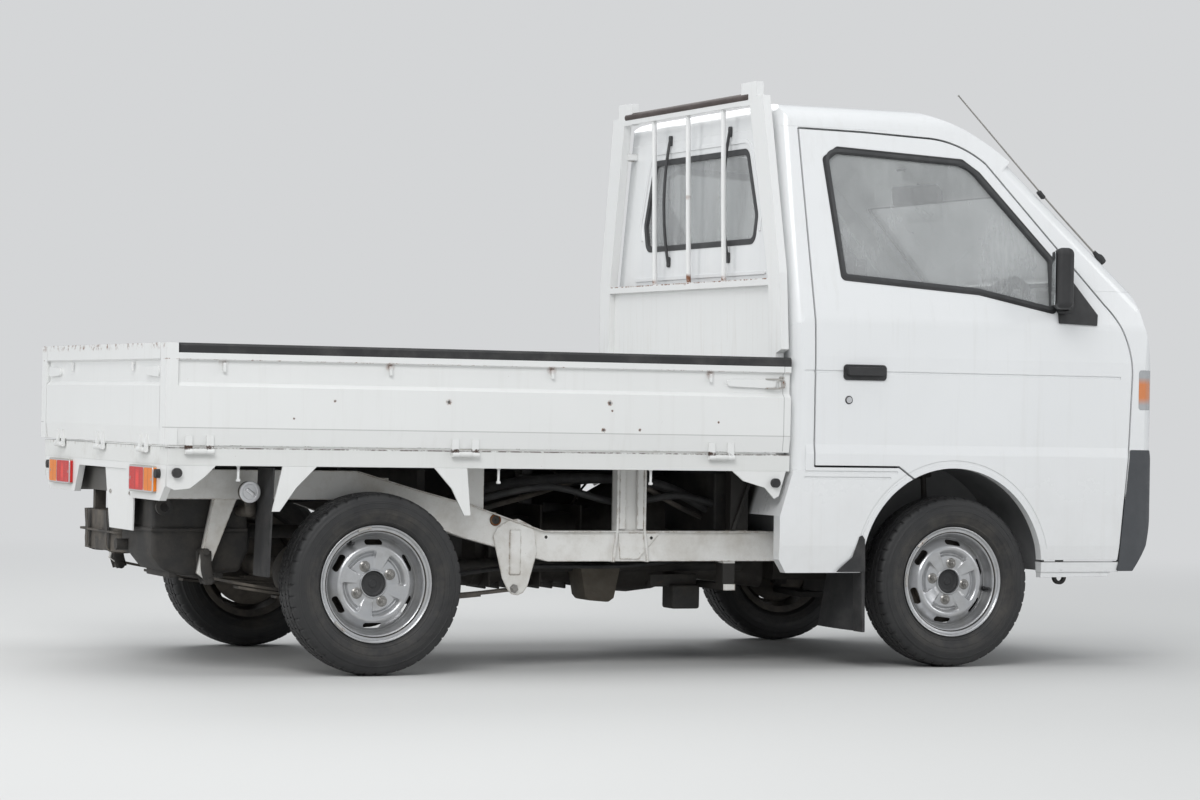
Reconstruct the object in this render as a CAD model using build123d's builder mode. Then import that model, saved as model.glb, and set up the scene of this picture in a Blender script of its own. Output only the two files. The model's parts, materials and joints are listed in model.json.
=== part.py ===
from build123d import *
from math import atan2, cos, degrees, radians, sin, sqrt
import os

# A small cab-over pickup truck with a drop-side bed and right-hand drive.
# Millimetres. X points forward, Y to the left side, Z up from the ground.
# The origin is on the ground, halfway along the overall length.

os.makedirs("parts", exist_ok=True)

# Overall sizes
wheelbase = 1905.0
rear_overhang = 662.0
front_overhang = 728.0
body_width = 1395.0
cab_length = 1315.5
track_margin = 200.0

# Wheels and tyres
tyre_radius = 266.0
tyre_width = 145.0
rim_flange_radius = 169.0
rim_seat_radius = 152.0
rim_width = 114.0
hub_face_offset = 30.0
drum_radius = 98.0
drum_depth = 48.0

# Load bed
bed_gap = 5.5
gate_thickness = 36.0
gate_bottom_z = 662.0
gate_crease_z = 712.0
gate_bulge_z = 829.0
gate_channel_z = 905.0
gate_rubber_z = 923.0
gate_top_z = 951.0
gate_recess = 11.0
gate_taper = 7.5
corner_cap_length = 40.0
sill_height = 51.0
sill_inset = 11.5
deck_plate = 8.0
rib_height = 6.0
rib_width = 60.0
rib_pitch = 110.0
hinge_radius = 8.0
hinge_z = 645.0
hinge_width = 40.0
panel_gap = 6.0

# Cab shell, with the rise of the roof and the windscreen given from the lines they start at
cab_wall = 32.0
cab_bottom_z = 297.0
step_low_z = 660.0
step_high_z = 690.0
step_inset = 5.0
belt_z = 960.0
shoulder_z = 1070.0
shoulder_inset = 10.0
cant_z = 1660.0
tumblehome = 123.5
eaves_rise = 70.0
crown_rise = 102.0
cowl_z = 1198.0
cowl_setback = 99.5
screen_rise = 350.0
screen_run = 368.0
nose_corner = 80.0
rear_corner = 45.0
pillar_radius = 60.0
cant_corner = 75.0
door_bottom_z = 625.0
door_front_setback = 113.5
door_rear_margin = 78.0
arch_radius = 320.0
arch_center_z = 300.0
arch_setback = 25.0
bumper_top_z = 684.0
bumper_wall = 16.0
bumper_corner = 90.0

# Clearances
seat_gap = 0.3
running_gap = 0.3

# Steering, measured inward from the wheel's middle
ball_joint_inset = 35.5
ball_joint_z = 185.0
strut_foot_inset = 107.5
strut_foot_z = 300.0
strut_top_inset = 142.5
strut_top_z = 600.0

# Chassis
rail_width = 60.0
rail_outer_y = 500.0
front_rail_outer_y = 330.0
rail_bottom_z = 324.0
rail_top_z = 416.0
rail_nose_setback = 116.0

# Values worked out from the sizes above
overall_length = rear_overhang + wheelbase + front_overhang
tail_x = -overall_length / 2
nose_x = overall_length / 2
half_width = body_width / 2
rear_axle_x = tail_x + rear_overhang
front_axle_x = nose_x - front_overhang
wheel_y = (body_width - track_margin) / 2
wheel_z = tyre_radius
cab_rear_x = nose_x - cab_length
bed_front_x = cab_rear_x - bed_gap
gate_face_x = tail_x + hinge_radius
gate_inner_y = half_width - gate_thickness
sill_y = half_width - sill_inset
deck_top_z = gate_bottom_z - panel_gap
deck_rear_x = gate_face_x + sill_inset
deck_length = bed_front_x - deck_rear_x
gate_front_x = bed_front_x - 4.5
arch_center_x = front_axle_x - arch_setback
rail_front_x = nose_x - rail_nose_setback
ball_joint_y = wheel_y - ball_joint_inset
strut_foot_y = wheel_y - strut_foot_inset
strut_top_y = wheel_y - strut_top_inset
cant_half_width = half_width - tumblehome
roof_top_z = cant_z + crown_rise

SIDES = (("right", -1), ("left", 1))


def keep(piece, name):
    """Label a finished piece and write it to its own file."""
    piece.part.label = name
    export_step(piece.part, f"parts/{name}.step")


def wheel_profile(center_y, side, points):
    """Turn (outward offset, radius) pairs into Y, Z points above a wheel's axis."""
    return [(side * (center_y + out), wheel_z + radius) for out, radius in points]


# Wheels: a steel rim with a vented dish and four blades, its brake drum, and a tyre
half_tread = tyre_width / 2
half_rim = rim_width / 2
bead_out = half_rim - 6
tread_out = half_tread - 19
tread_edge_radius = tyre_radius - 4
shoulder_out = half_tread - 5
shoulder_radius = tyre_radius - 19
rim_metal = 5.0
well_depth = 12.0
barrel_section = [
    (-half_rim, rim_flange_radius),
    (-half_rim + rim_metal, rim_flange_radius),
    (-half_rim + rim_metal, rim_seat_radius),
    (-half_rim + 25, rim_seat_radius),
    (-half_rim + 33, rim_seat_radius - well_depth),
    (half_rim - 42, rim_seat_radius - well_depth),
    (half_rim - 34, rim_seat_radius),
    (half_rim - rim_metal, rim_seat_radius),
    (half_rim - rim_metal, rim_flange_radius - 2),
    (half_rim - rim_metal + 1.5, rim_flange_radius),
    (half_rim - 1, rim_flange_radius - 1),
    (half_rim, rim_flange_radius - 5),
    (half_rim - 1.5, rim_seat_radius + 4),
    (half_rim - 5, rim_seat_radius - rim_metal),
    (half_rim - 31, rim_seat_radius - rim_metal),
    (half_rim - 39, rim_seat_radius - well_depth - rim_metal),
    (-half_rim + 30, rim_seat_radius - well_depth - rim_metal),
    (-half_rim + 22, rim_seat_radius - rim_metal),
    (-half_rim, rim_seat_radius - rim_metal),
]
dish_edge_radius = rim_seat_radius - 6
cap_radius = 34.0
cap_height = 13.0
dish_section = [
    (hub_face_offset - 4, 0),
    (hub_face_offset + cap_height, 0),
    (hub_face_offset + cap_height, cap_radius - 6),
    (hub_face_offset + cap_height - 4, cap_radius),
    (hub_face_offset, cap_radius + 1),
    (hub_face_offset, 88),
    (hub_face_offset + 9, 95),
    (hub_face_offset + 15, 100),
    (hub_face_offset + 17, 105),
    (hub_face_offset + 16, 109),
    (hub_face_offset + 8, 113),
    (hub_face_offset - 3, 116),
    (hub_face_offset - 5, dish_edge_radius),
    (hub_face_offset - 10, dish_edge_radius),
    (hub_face_offset - 8, 113),
    (hub_face_offset + 6, 108),
    (hub_face_offset + 12, 105),
    (hub_face_offset + 6, 97),
    (hub_face_offset - 4, 91),
]
drum_section = [
    (hub_face_offset - drum_depth, 0),
    (hub_face_offset - 4, 0),
    (hub_face_offset - 4, 60),
    (hub_face_offset - 12, drum_radius),
    (hub_face_offset - drum_depth, drum_radius),
]
vent_circle = 125.5
vent_count = 6
vent_length = 54.0
vent_height = 9.0
blade_count = 4
blade_low_radius = 47.0
blade_high_radius = 91.0
blade_height = 10.0

WHEELS = [
    # name, axle X, side
    ("rear_right", rear_axle_x, -1),
    ("rear_left", rear_axle_x, 1),
    ("front_right", front_axle_x, -1),
    ("front_left", front_axle_x, 1),
]
for wheel_name, axle_x, side in WHEELS:
    spin_axis = Axis((axle_x, 0, wheel_z), (0, 1, 0))
    with BuildPart() as tyre:
        with BuildSketch(Plane.YZ.offset(axle_x)):
            with BuildLine():
                inner, outer = [
                    wheel_profile(
                        wheel_y,
                        side,
                        [
                            (face * bead_out, rim_seat_radius + seat_gap),
                            (face * bead_out, rim_flange_radius + 2),
                            (face * half_tread, rim_flange_radius + 43),
                            (face * shoulder_out, shoulder_radius),
                            (face * (half_tread - 9), tyre_radius - 10),
                            (face * tread_out, tread_edge_radius),
                        ],
                    )
                    for face in (-1, 1)
                ]
                for flank in (inner, outer):
                    Line(flank[0], flank[1])
                    ThreePointArc(flank[1], flank[2], flank[3])
                    ThreePointArc(flank[3], flank[4], flank[5])
                ThreePointArc(inner[5], (side * wheel_y, wheel_z + tyre_radius), outer[5])
                Line(outer[0], inner[0])
            make_face()
        revolve(axis=spin_axis)
    keep(tyre, f"tyre_{wheel_name}")
    with BuildPart() as rim:
        for section in (barrel_section, dish_section, drum_section):
            with BuildSketch(Plane.YZ.offset(axle_x)):
                with BuildLine():
                    Polyline(*wheel_profile(wheel_y, side, section), close=True)
                make_face()
            revolve(axis=spin_axis)
        wheel_face = Plane(
            origin=(axle_x, side * (wheel_y + half_rim), wheel_z), x_dir=(1, 0, 0), z_dir=(0, side, 0)
        )
        with BuildSketch(wheel_face):
            with PolarLocations(vent_circle, vent_count, start_angle=90):
                SlotOverall(vent_length, vent_height, rotation=90)
        extrude(amount=-(half_rim - hub_face_offset + 12), mode=Mode.SUBTRACT)
        with BuildSketch(wheel_face.offset(hub_face_offset - half_rim)):
            with PolarLocations((blade_low_radius + blade_high_radius) / 2, blade_count, start_angle=45):
                Trapezoid(36, blade_high_radius - blade_low_radius, 80, rotation=90)
        extrude(amount=blade_height, taper=20)
    keep(rim, f"rim_{wheel_name}")

# Steering knuckles: hub carrier, strut tube and steering arm, turning about the kingpin line
drum_back_y = wheel_y + hub_face_offset - drum_depth
strut_lean = degrees(atan2(strut_foot_y - strut_top_y, strut_top_z - strut_foot_z))
strut_length = sqrt((strut_foot_y - strut_top_y) ** 2 + (strut_top_z - strut_foot_z) ** 2)
stud_top = 12.0
arm_tip_radius = 15.0
kingpin_run = ball_joint_y - strut_top_y
kingpin_rise = strut_top_z - ball_joint_z
kingpin_length = sqrt(kingpin_run**2 + kingpin_rise**2)


def kingpin_plane(side):
    """Plane at the ball joint whose normal is the steering axis."""
    return Plane(
        origin=(front_axle_x, side * ball_joint_y, ball_joint_z),
        x_dir=(1, 0, 0),
        z_dir=(0, -side * kingpin_run, kingpin_rise),
    )


for side_name, side in SIDES:
    with BuildPart() as knuckle:
        with BuildSketch(Plane.XZ.offset(-side * (strut_foot_y - 15))):
            with Locations((front_axle_x, wheel_z)):
                Circle(36)
        extrude(amount=-side * (drum_back_y - running_gap - strut_foot_y + 15))
        with BuildSketch(kingpin_plane(side).offset(stud_top)):
            Rectangle(46, 34)
        extrude(amount=50)
        strut_axis = Plane(
            origin=(front_axle_x, side * strut_foot_y, strut_foot_z - 40),
            z_dir=(0, -side * sin(radians(strut_lean)), cos(radians(strut_lean))),
        )
        with BuildSketch(strut_axis):
            Circle(21)
        extrude(amount=strut_length - 60)
        with BuildSketch(strut_axis.offset(strut_length - 62)):
            Circle(9)
        extrude(amount=92)
        with BuildSketch(kingpin_plane(side).offset(kingpin_length - 12)):
            Circle(24)
        extrude(amount=12)
        with BuildSketch(strut_axis.offset(200)):
            Circle(52)
        extrude(amount=6)
        with BuildSketch(Plane.XY.offset(wheel_z - 12)):
            with Locations((front_axle_x + 70, side * (strut_foot_y + 6))):
                Rectangle(140, 26)
        extrude(amount=22)
    keep(knuckle, f"knuckle_{side_name}")

# Front suspension: cross member, lower arms with ball studs, spring towers and steering rack
with BuildPart() as front_suspension:
    with BuildSketch(Plane.YZ.offset(front_axle_x - 45)):
        with Locations((0, 215)):
            Rectangle(560, 50)
    extrude(amount=90)
    with BuildSketch(Plane.YZ.offset(front_axle_x + 141)):
        with Locations((0, 290)):
            Rectangle(530, 34)
    extrude(amount=34)
    for side in (-1, 1):
        with BuildSketch(Plane.XY.offset(ball_joint_z - 20)):
            with BuildLine():
                Polyline(
                    (front_axle_x - 70, side * 250),
                    (front_axle_x + 150, side * 250),
                    (front_axle_x + 20, side * (ball_joint_y - 8)),
                    (front_axle_x - 20, side * (ball_joint_y - 8)),
                    close=True,
                )
            make_face()
            with Locations((front_axle_x, side * (ball_joint_y - 4))):
                Circle(arm_tip_radius)
        extrude(amount=18)
        with BuildSketch(kingpin_plane(side).offset(-14)):
            Circle(12)
        extrude(amount=stud_top - running_gap + 14)
        with BuildSketch(Plane.XY.offset(ball_joint_z - 3)):
            with Locations((front_axle_x + 90, side * 285)):
                Circle(16)
        extrude(amount=rail_bottom_z - ball_joint_z + 3)
        with BuildSketch(Plane.XY.offset(240)):
            with Locations((front_axle_x, side * 300)):
                Rectangle(60, 50)
        extrude(amount=rail_bottom_z - 240)
        with BuildSketch(Plane.XY.offset(307)):
            with Locations((front_axle_x + 158, side * 285)):
                Rectangle(34, 40)
        extrude(amount=rail_bottom_z - 307)
keep(front_suspension, "front_suspension")

# Rear axle: tube, differential housing and brake backing plates
axle_half = wheel_y + hub_face_offset - drum_depth - running_gap
with BuildPart() as rear_axle:
    with BuildSketch(Plane.XZ.offset(-axle_half)):
        with Locations((rear_axle_x, wheel_z)):
            Circle(32)
    extrude(amount=2 * axle_half)
    with Locations((rear_axle_x, 0, wheel_z)):
        Sphere(98)
    with BuildSketch(Plane.YZ.offset(rear_axle_x + 60)):
        with Locations((0, wheel_z)):
            Circle(48)
    extrude(amount=110)
    for side in (-1, 1):
        with BuildSketch(Plane.XZ.offset(-side * (axle_half - 8))):
            with Locations((rear_axle_x, wheel_z)):
                Circle(drum_radius - 4)
        extrude(amount=-side * 8)
        with BuildSketch(Plane.XY.offset(wheel_z - 34 + seat_gap)):
            with Locations((rear_axle_x, side * (rail_outer_y - rail_width / 2))):
                Rectangle(40, 50)
        extrude(amount=30)
keep(rear_axle, "rear_axle")

# Leaf springs: packs of three leaves under the axle, with front hangers and rear shackles
spring_y = rail_outer_y - rail_width / 2
spring_seat_z = wheel_z - 32
spring_front = (rear_axle_x + 484, 240)
spring_rear = (rear_axle_x - 458, 281)
with BuildPart() as leaf_springs:
    for side in (-1, 1):
        for leaf, reach in enumerate((1.0, 0.8, 0.55)):
            rise = 9.0 * leaf
            with BuildSketch(Plane.XZ.offset(-side * spring_y)):
                with BuildLine():
                    front_end = (rear_axle_x + 484 * reach, spring_seat_z - rise - 8 + 16 * reach * reach)
                    rear_end = (rear_axle_x - 458 * reach, spring_seat_z - rise - 8 + 57 * reach * reach)
                    middle = (rear_axle_x, spring_seat_z - rise - 9)
                    top = ThreePointArc(front_end, middle, rear_end)
                    low = ThreePointArc(
                        (front_end[0], front_end[1] - 8),
                        (middle[0], middle[1] - 8),
                        (rear_end[0], rear_end[1] - 8),
                    )
                    Line(top @ 0, low @ 0)
                    Line(top @ 1, low @ 1)
                make_face()
            extrude(amount=25, both=True)
        with BuildSketch(Plane.XZ.offset(-side * spring_y)):
            with Locations((rear_axle_x, spring_seat_z - 6)):
                Rectangle(100, 8)
        extrude(amount=30, both=True)
keep(leaf_springs, "leaf_springs")

# Frame rails: side rails that kick up over the rear axle, narrower under the cab, cross members
rail_top_line = [
    (bed_front_x + 30, rail_top_z),
    (rear_axle_x + 585, rail_top_z),
    (rear_axle_x + 354, 491),
    (rear_axle_x + 164, 540),
    (rear_axle_x - 10, 590),
    (tail_x + 48, 590),
]
rail_low_line = [
    (tail_x + 48, 505),
    (rear_axle_x - 30, 505),
    (rear_axle_x + 135, 460),
    (rear_axle_x + 325, 395),
    (rear_axle_x + 600, rail_bottom_z),
    (bed_front_x + 30, rail_bottom_z),
]
front_rail_length = rail_front_x - bed_front_x - 20
middle_post_x = cab_rear_x - 449
CROSS_MEMBERS = [
    # X, half span, bottom Z, top Z, width
    (tail_x + 90, rail_outer_y - 10, 510, 580, 50),
    (rear_axle_x + 60, rail_outer_y - 10, 515, 570, 60),
    (rear_axle_x + 414, rail_outer_y - 10, 430, 470, 40),
    (middle_post_x + 10, rail_outer_y - 10, 350, 400, 60),
    (bed_front_x - 106, rail_outer_y, 234, 252.9, 40),
    (front_axle_x + 500, front_rail_outer_y - 5, 340, 400, 60),
]
BED_POSTS = [
    # X, foot Z, width along X
    (rear_axle_x + 360, 480, 60),
    (middle_post_x, rail_top_z, 90),
    (rear_axle_x - 490, 585, 90),
    (bed_front_x - 74, rail_top_z, 60),
]
with BuildPart() as frame_rails:
    for side in (-1, 1):
        with BuildSketch(Plane.XZ.offset(-side * (rail_outer_y - rail_width / 2))):
            with BuildLine():
                Polyline(*rail_top_line, *rail_low_line, close=True)
            make_face()
        extrude(amount=rail_width / 2, both=True)
        with BuildSketch(Plane.XY.offset(rail_bottom_z)):
            rail_middle_x = bed_front_x + 20 + front_rail_length / 2
            with Locations((rail_middle_x, side * (front_rail_outer_y - rail_width / 2))):
                Rectangle(front_rail_length, rail_width)
        extrude(amount=rail_top_z - rail_bottom_z)
        for post_x, foot_z, post_width in BED_POSTS:
            with BuildSketch(Plane.XY.offset(foot_z)):
                with Locations((post_x, side * (rail_outer_y - 22))):
                    Rectangle(post_width, 36)
            extrude(amount=deck_top_z - sill_height - foot_z - seat_gap)
        with BuildSketch(Plane.XY.offset(234)):
            with Locations((bed_front_x - 106, side * (rail_outer_y - rail_width / 2))):
                Rectangle(40, rail_width - 10)
        extrude(amount=rail_bottom_z - 234)
        with BuildSketch(Plane.XY.offset(rail_bottom_z)):
            with Locations((bed_front_x + 55, side * (rail_outer_y + front_rail_outer_y - rail_width) / 2)):
                Rectangle(70, rail_outer_y - front_rail_outer_y + rail_width)
        extrude(amount=rail_top_z - rail_bottom_z)
        with BuildSketch(Plane.XZ.offset(-side * spring_y)):
            with BuildLine():
                Polyline(
                    (rear_axle_x + 420, 430),
                    (rear_axle_x + 560, 385),
                    (rear_axle_x + 535, 250),
                    (rear_axle_x + 505, 228),
                    (rear_axle_x + 484 + seat_gap, 232),
                    (rear_axle_x + 484 + seat_gap, 262),
                    close=True,
                )
            make_face()
        extrude(amount=14, both=True)
        with BuildSketch(Plane.XZ.offset(-side * spring_y)):
            with BuildLine():
                Polyline(
                    (rear_axle_x - 370, 515),
                    (rear_axle_x - 440, 515),
                    (rear_axle_x - 485, 290),
                    (rear_axle_x - 458 - seat_gap, 270),
                    (rear_axle_x - 458 - seat_gap, 290),
                    close=True,
                )
            make_face()
        extrude(amount=14, both=True)
    for member_x, half_span, low_z, high_z, member_width in CROSS_MEMBERS:
        with BuildSketch(Plane.XY.offset(low_z)):
            with Locations((member_x, 0)):
                Rectangle(member_width, 2 * half_span)
        extrude(amount=high_z - low_z)
keep(frame_rails, "frame_rails")

# Engine and gearbox: one plain mass under the seats
with BuildPart() as engine_block:
    with BuildSketch(Plane.XY.offset(250)):
        with Locations((front_axle_x - 190, 0)):
            Rectangle(420, 400)
    extrude(amount=330)
    with BuildSketch(Plane.YZ.offset(front_axle_x - 400)):
        with Locations((0, 310)):
            RectangleRounded(250, 180, 40)
    with BuildSketch(Plane.YZ.offset(front_axle_x - 820)):
        with Locations((0, 330)):
            RectangleRounded(130, 120, 40)
    loft()
keep(engine_block, "engine_block")

# Propeller shaft from the gearbox to the rear differential
shaft_front_x = front_axle_x - 820 - seat_gap
shaft_rear_x = rear_axle_x + 170 + seat_gap
with BuildPart() as propeller_shaft:
    with BuildSketch(Plane.YZ.offset(shaft_rear_x)):
        with Locations((0, wheel_z)):
            Circle(30)
    with BuildSketch(Plane.YZ.offset(shaft_front_x)):
        with Locations((0, 330)):
            Circle(30)
    loft()
keep(propeller_shaft, "propeller_shaft")

# Exhaust: pipe along the right rail, over the axle, to the silencer under the tail
pipe_y = -165.0
with BuildPart() as exhaust:
    with BuildLine() as pipe_route:
        FilletPolyline(
            (front_axle_x - 500, pipe_y, 296),
            (rear_axle_x + 330, pipe_y, 296),
            (rear_axle_x + 160, pipe_y, 400),
            (rear_axle_x - 260, pipe_y, 400),
            radius=90,
        )
    with BuildSketch(Plane.YZ.offset(front_axle_x - 500)):
        with Locations((pipe_y, 296)):
            Circle(20)
    sweep()
    with BuildSketch(Plane.YZ.offset(rear_axle_x - 600)):
        with Locations((pipe_y + 10, 385)):
            Ellipse(75, 52)
    extrude(amount=350)
    with BuildSketch(Plane.YZ.offset(rear_axle_x - 640)):
        with Locations((pipe_y + 10, 360)):
            Circle(17)
    extrude(amount=45)
    with BuildSketch(Plane.XY.offset(420)):
        with Locations((tail_x + 90, pipe_y + 10)):
            Rectangle(30, 16)
    extrude(amount=510 - seat_gap - 420)
keep(exhaust, "exhaust")

# Fuel tank: two pressed halves with a flange between them, its straps, filler neck and cap
tank_x = tail_x + 182
tank_y = 160.0
tank_low_z = 330.0
tank_length = 240.0
tank_width = 430.0
tank_height = 120.0
tank_flange = 13.0
strap_x = tail_x + 90
filler_x = rear_axle_x - 370
filler_y = -half_width + 118
filler_z = 529.0
filler_pass_z = 470.0
with BuildPart() as fuel_tank:
    with BuildSketch(Plane.XY.offset(tank_low_z)):
        with Locations((tank_x, tank_y)):
            RectangleRounded(tank_length, tank_width, 40)
    extrude(amount=tank_height)
    with BuildSketch(Plane.XY.offset(tank_low_z + 56)):
        with Locations((tank_x, tank_y)):
            RectangleRounded(tank_length + 2 * tank_flange, tank_width + 2 * tank_flange, 40)
    extrude(amount=6)
    with BuildSketch(Plane.XY.offset(tank_low_z + tank_height - 10)):
        for strap_y in (60, 280):
            with Locations((strap_x, strap_y)):
                Rectangle(34, 24)
    extrude(amount=510 - seat_gap - tank_low_z - tank_height + 10)
    with BuildLine():
        FilletPolyline(
            (filler_x, filler_y, filler_z),
            (filler_x + 12, filler_y + 34, filler_z - 4),
            (filler_x + 25, filler_y + 49, filler_pass_z),
            (filler_x + 5, -10, filler_pass_z),
            (filler_x - 10, 0, tank_low_z + tank_height - 20),
            radius=16,
        )
    with BuildSketch(Plane.XZ.offset(-filler_y)):
        with Locations((filler_x, filler_z)):
            Circle(16)
    sweep()
    with BuildSketch(Plane.XZ.offset(-filler_y)):
        with Locations((filler_x, filler_z)):
            Circle(31)
    extrude(amount=16)
keep(fuel_tank, "fuel_tank")

# Gate hinges: a fixed barrel on the sill between two barrels on the gate
SIDE_HINGES = [share * deck_length for share in (0.046, 0.4574, 0.88)]
TAIL_HINGES = (-466.0, 0.0, 466.0)
barrel_length = 22.0
barrel_gap = 0.3


def add_barrel(plane, across, length):
    """Add a hinge barrel that starts on a plane and runs along its normal."""
    with BuildSketch(plane) as ring:
        with Locations((across, hinge_z)):
            Circle(hinge_radius)
    extrude(ring.sketch, amount=length)


# Bed deck: ribbed plate, side sills, cross sills and cross bearers
rib_count = 11
with BuildPart() as bed_deck:
    with BuildSketch(Plane.XY.offset(deck_top_z - deck_plate)):
        with Locations((deck_rear_x + deck_length / 2, 0)):
            Rectangle(deck_length, 2 * sill_y)
    extrude(amount=deck_plate)
    with BuildSketch(Plane.XY.offset(deck_top_z)):
        with Locations((deck_rear_x + deck_length / 2, 0)):
            with GridLocations(0, rib_pitch, 1, rib_count):
                Rectangle(deck_length - 160, rib_width)
    extrude(amount=rib_height, taper=30)
    for side in (-1, 1):
        with BuildSketch(Plane.XY.offset(deck_top_z - sill_height)):
            with Locations((deck_rear_x + deck_length / 2, side * (sill_y - 20))):
                Rectangle(deck_length, 40)
        extrude(amount=sill_height)
    for sill_x in (deck_rear_x + 20, bed_front_x - 20):
        with BuildSketch(Plane.XY.offset(deck_top_z - sill_height)):
            with Locations((sill_x, 0)):
                Rectangle(40, 2 * sill_y)
        extrude(amount=sill_height)
    for post_x, foot_z, post_width in BED_POSTS:
        with BuildSketch(Plane.XY.offset(deck_top_z - sill_height)):
            with Locations((post_x, 0)):
                Rectangle(50, 2 * sill_y)
        extrude(amount=sill_height)
    for side in (-1, 1):
        for shift in SIDE_HINGES:
            hinge_start = Plane.YZ.offset(deck_rear_x + shift - hinge_width / 2)
            add_barrel(hinge_start, side * half_width, hinge_width)
            with BuildSketch(hinge_start):
                with Locations((side * (half_width + sill_y) / 2, hinge_z)):
                    Rectangle(half_width - sill_y, 8)
            extrude(amount=hinge_width)
    for hinge_y in TAIL_HINGES:
        add_barrel(Plane.XZ.offset(-hinge_y - hinge_width / 2), gate_face_x, hinge_width)
        with BuildSketch(Plane.XZ.offset(-hinge_y - hinge_width / 2)):
            with Locations(((gate_face_x + deck_rear_x) / 2, hinge_z)):
                Rectangle(deck_rear_x - gate_face_x, 8)
        extrude(amount=hinge_width)
keep(bed_deck, "bed_deck")


def gate_section(outer, inner, top_z):
    """Outline of a gate from its hinge edge to its top rail, as (across, Z) points."""
    step = 1 if outer > inner else -1
    return [
        (inner, gate_bottom_z),
        (outer - step * gate_taper, gate_bottom_z),
        (outer, gate_crease_z),
        (outer, gate_bulge_z),
        (outer - step * gate_recess, gate_bulge_z + gate_recess),
        (outer - step * gate_recess, gate_channel_z - 4),
        (outer, gate_channel_z),
        (outer, top_z),
        (inner, top_z),
    ]


def add_gate_hinge(plane, across, step):
    """Add the two barrels and the strap of one hinge, centred on a plane."""
    for start in (hinge_width / 2 + barrel_gap, -hinge_width / 2 - barrel_gap - barrel_length):
        add_barrel(plane.offset(start), across, barrel_length)
        with BuildSketch(plane.offset(start)) as strap:
            with Locations((across - step * gate_taper / 2, (hinge_z + 690) / 2)):
                Rectangle(gate_taper, 690 - hinge_z)
        extrude(strap.sketch, amount=barrel_length)


# Side gates with their rear corner caps, bent rope hooks, latches and hinge halves
SIDE_HOOKS = [share * deck_length for share in (0.0819, 0.3372, 0.5966, 0.8601)]
hook_drop = 26.0
hook_reach = 11.0
hook_bar = 6.0
hook_width = 9.0
latch_depth = 9.0
latch_reach = 80.0
latch_z = (gate_bulge_z + gate_channel_z) / 2 + 3
cap_inner_y = half_width - 57.5


def add_hook(plane, across, step):
    """Add a rope hook: a peg out of the channel face that bends down, centred on a plane."""
    top_z = gate_channel_z - 8
    with BuildSketch(plane) as bent:
        with BuildLine():
            Polyline(
                (across, top_z),
                (across + step * (hook_reach - 3), top_z),
                (across + step * hook_reach, top_z - 3),
                (across + step * hook_reach, top_z - hook_drop),
                (across + step * (hook_reach - hook_bar), top_z - hook_drop),
                (across + step * (hook_reach - hook_bar), top_z - hook_bar - 2),
                (across, top_z - hook_bar),
                close=True,
            )
        make_face()
    extrude(bent.sketch, amount=hook_width / 2, both=True)


for side_name, side in SIDES:
    with BuildPart() as gate:
        with BuildSketch(Plane.YZ.offset(gate_face_x)):
            with BuildLine():
                section = gate_section(side * half_width, side * gate_inner_y, gate_rubber_z)
                Polyline(*section, close=True)
            make_face()
        extrude(amount=gate_front_x - gate_face_x)
        with BuildSketch(Plane.XY.offset(gate_bottom_z)):
            with Locations((gate_face_x + gate_thickness / 2, side * (cap_inner_y + half_width) / 2)):
                Rectangle(gate_thickness, half_width - cap_inner_y)
        extrude(amount=gate_top_z - gate_bottom_z)
        for shift in SIDE_HINGES:
            add_gate_hinge(Plane.YZ.offset(deck_rear_x + shift), side * half_width, side)
        for shift in SIDE_HOOKS:
            add_hook(Plane.YZ.offset(deck_rear_x + shift), side * (half_width - gate_recess), side)
        latch_plane = Plane(
            origin=(gate_front_x - 122, side * (half_width - gate_recess), 0),
            x_dir=(1, 0, 0),
            z_dir=(0, side, 0),
        )
        with BuildSketch(latch_plane):
            with Locations((-latch_reach, -side * latch_z)):
                Circle(12)
            with Locations((latch_reach - 22, -side * latch_z)):
                Circle(16)
            make_hull()
        extrude(amount=latch_depth, taper=12)
        with BuildSketch(latch_plane):
            with Locations((latch_reach + 14, -side * latch_z)):
                RectangleRounded(22, 24, 4)
        extrude(amount=latch_depth - 2)
    keep(gate, f"gate_{side_name}")
    with BuildPart() as gate_rubber:
        with BuildSketch(Plane.YZ.offset(gate_face_x + corner_cap_length)):
            with BuildLine():
                Polyline(
                    (side * (gate_inner_y - 2), gate_rubber_z + seat_gap),
                    (side * half_width, gate_rubber_z + seat_gap),
                    (side * half_width, gate_top_z - 7),
                    (side * (half_width - 7), gate_top_z),
                    (side * (gate_inner_y + 5), gate_top_z),
                    (side * (gate_inner_y - 2), gate_top_z - 7),
                    close=True,
                )
            make_face()
        extrude(amount=gate_front_x - gate_face_x - corner_cap_length)
    keep(gate_rubber, f"gate_rubber_{side_name}")

# Tailgate with hooks, latches at both ends and hinge halves
tailgate_half = cap_inner_y - panel_gap
with BuildPart() as tailgate:
    with BuildSketch(Plane.XZ.offset(-tailgate_half)):
        with BuildLine():
            Polyline(*gate_section(gate_face_x, gate_face_x + gate_thickness, gate_top_z), close=True)
        make_face()
    extrude(amount=2 * tailgate_half)
    for hinge_y in TAIL_HINGES:
        add_gate_hinge(Plane.XZ.offset(-hinge_y), gate_face_x, -1)
    for hook_y in (-339, 339):
        add_hook(Plane.XZ.offset(-hook_y), gate_face_x + gate_recess, -1)
    for side in (-1, 1):
        with BuildSketch(Plane.YZ.offset(gate_face_x + gate_recess)):
            with Locations((side * (half_width - 205), latch_z)):
                Circle(12)
            with Locations((side * (half_width - 95), latch_z)):
                Circle(16)
            make_hull()
        extrude(amount=-latch_depth)
keep(tailgate, "tailgate")

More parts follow.
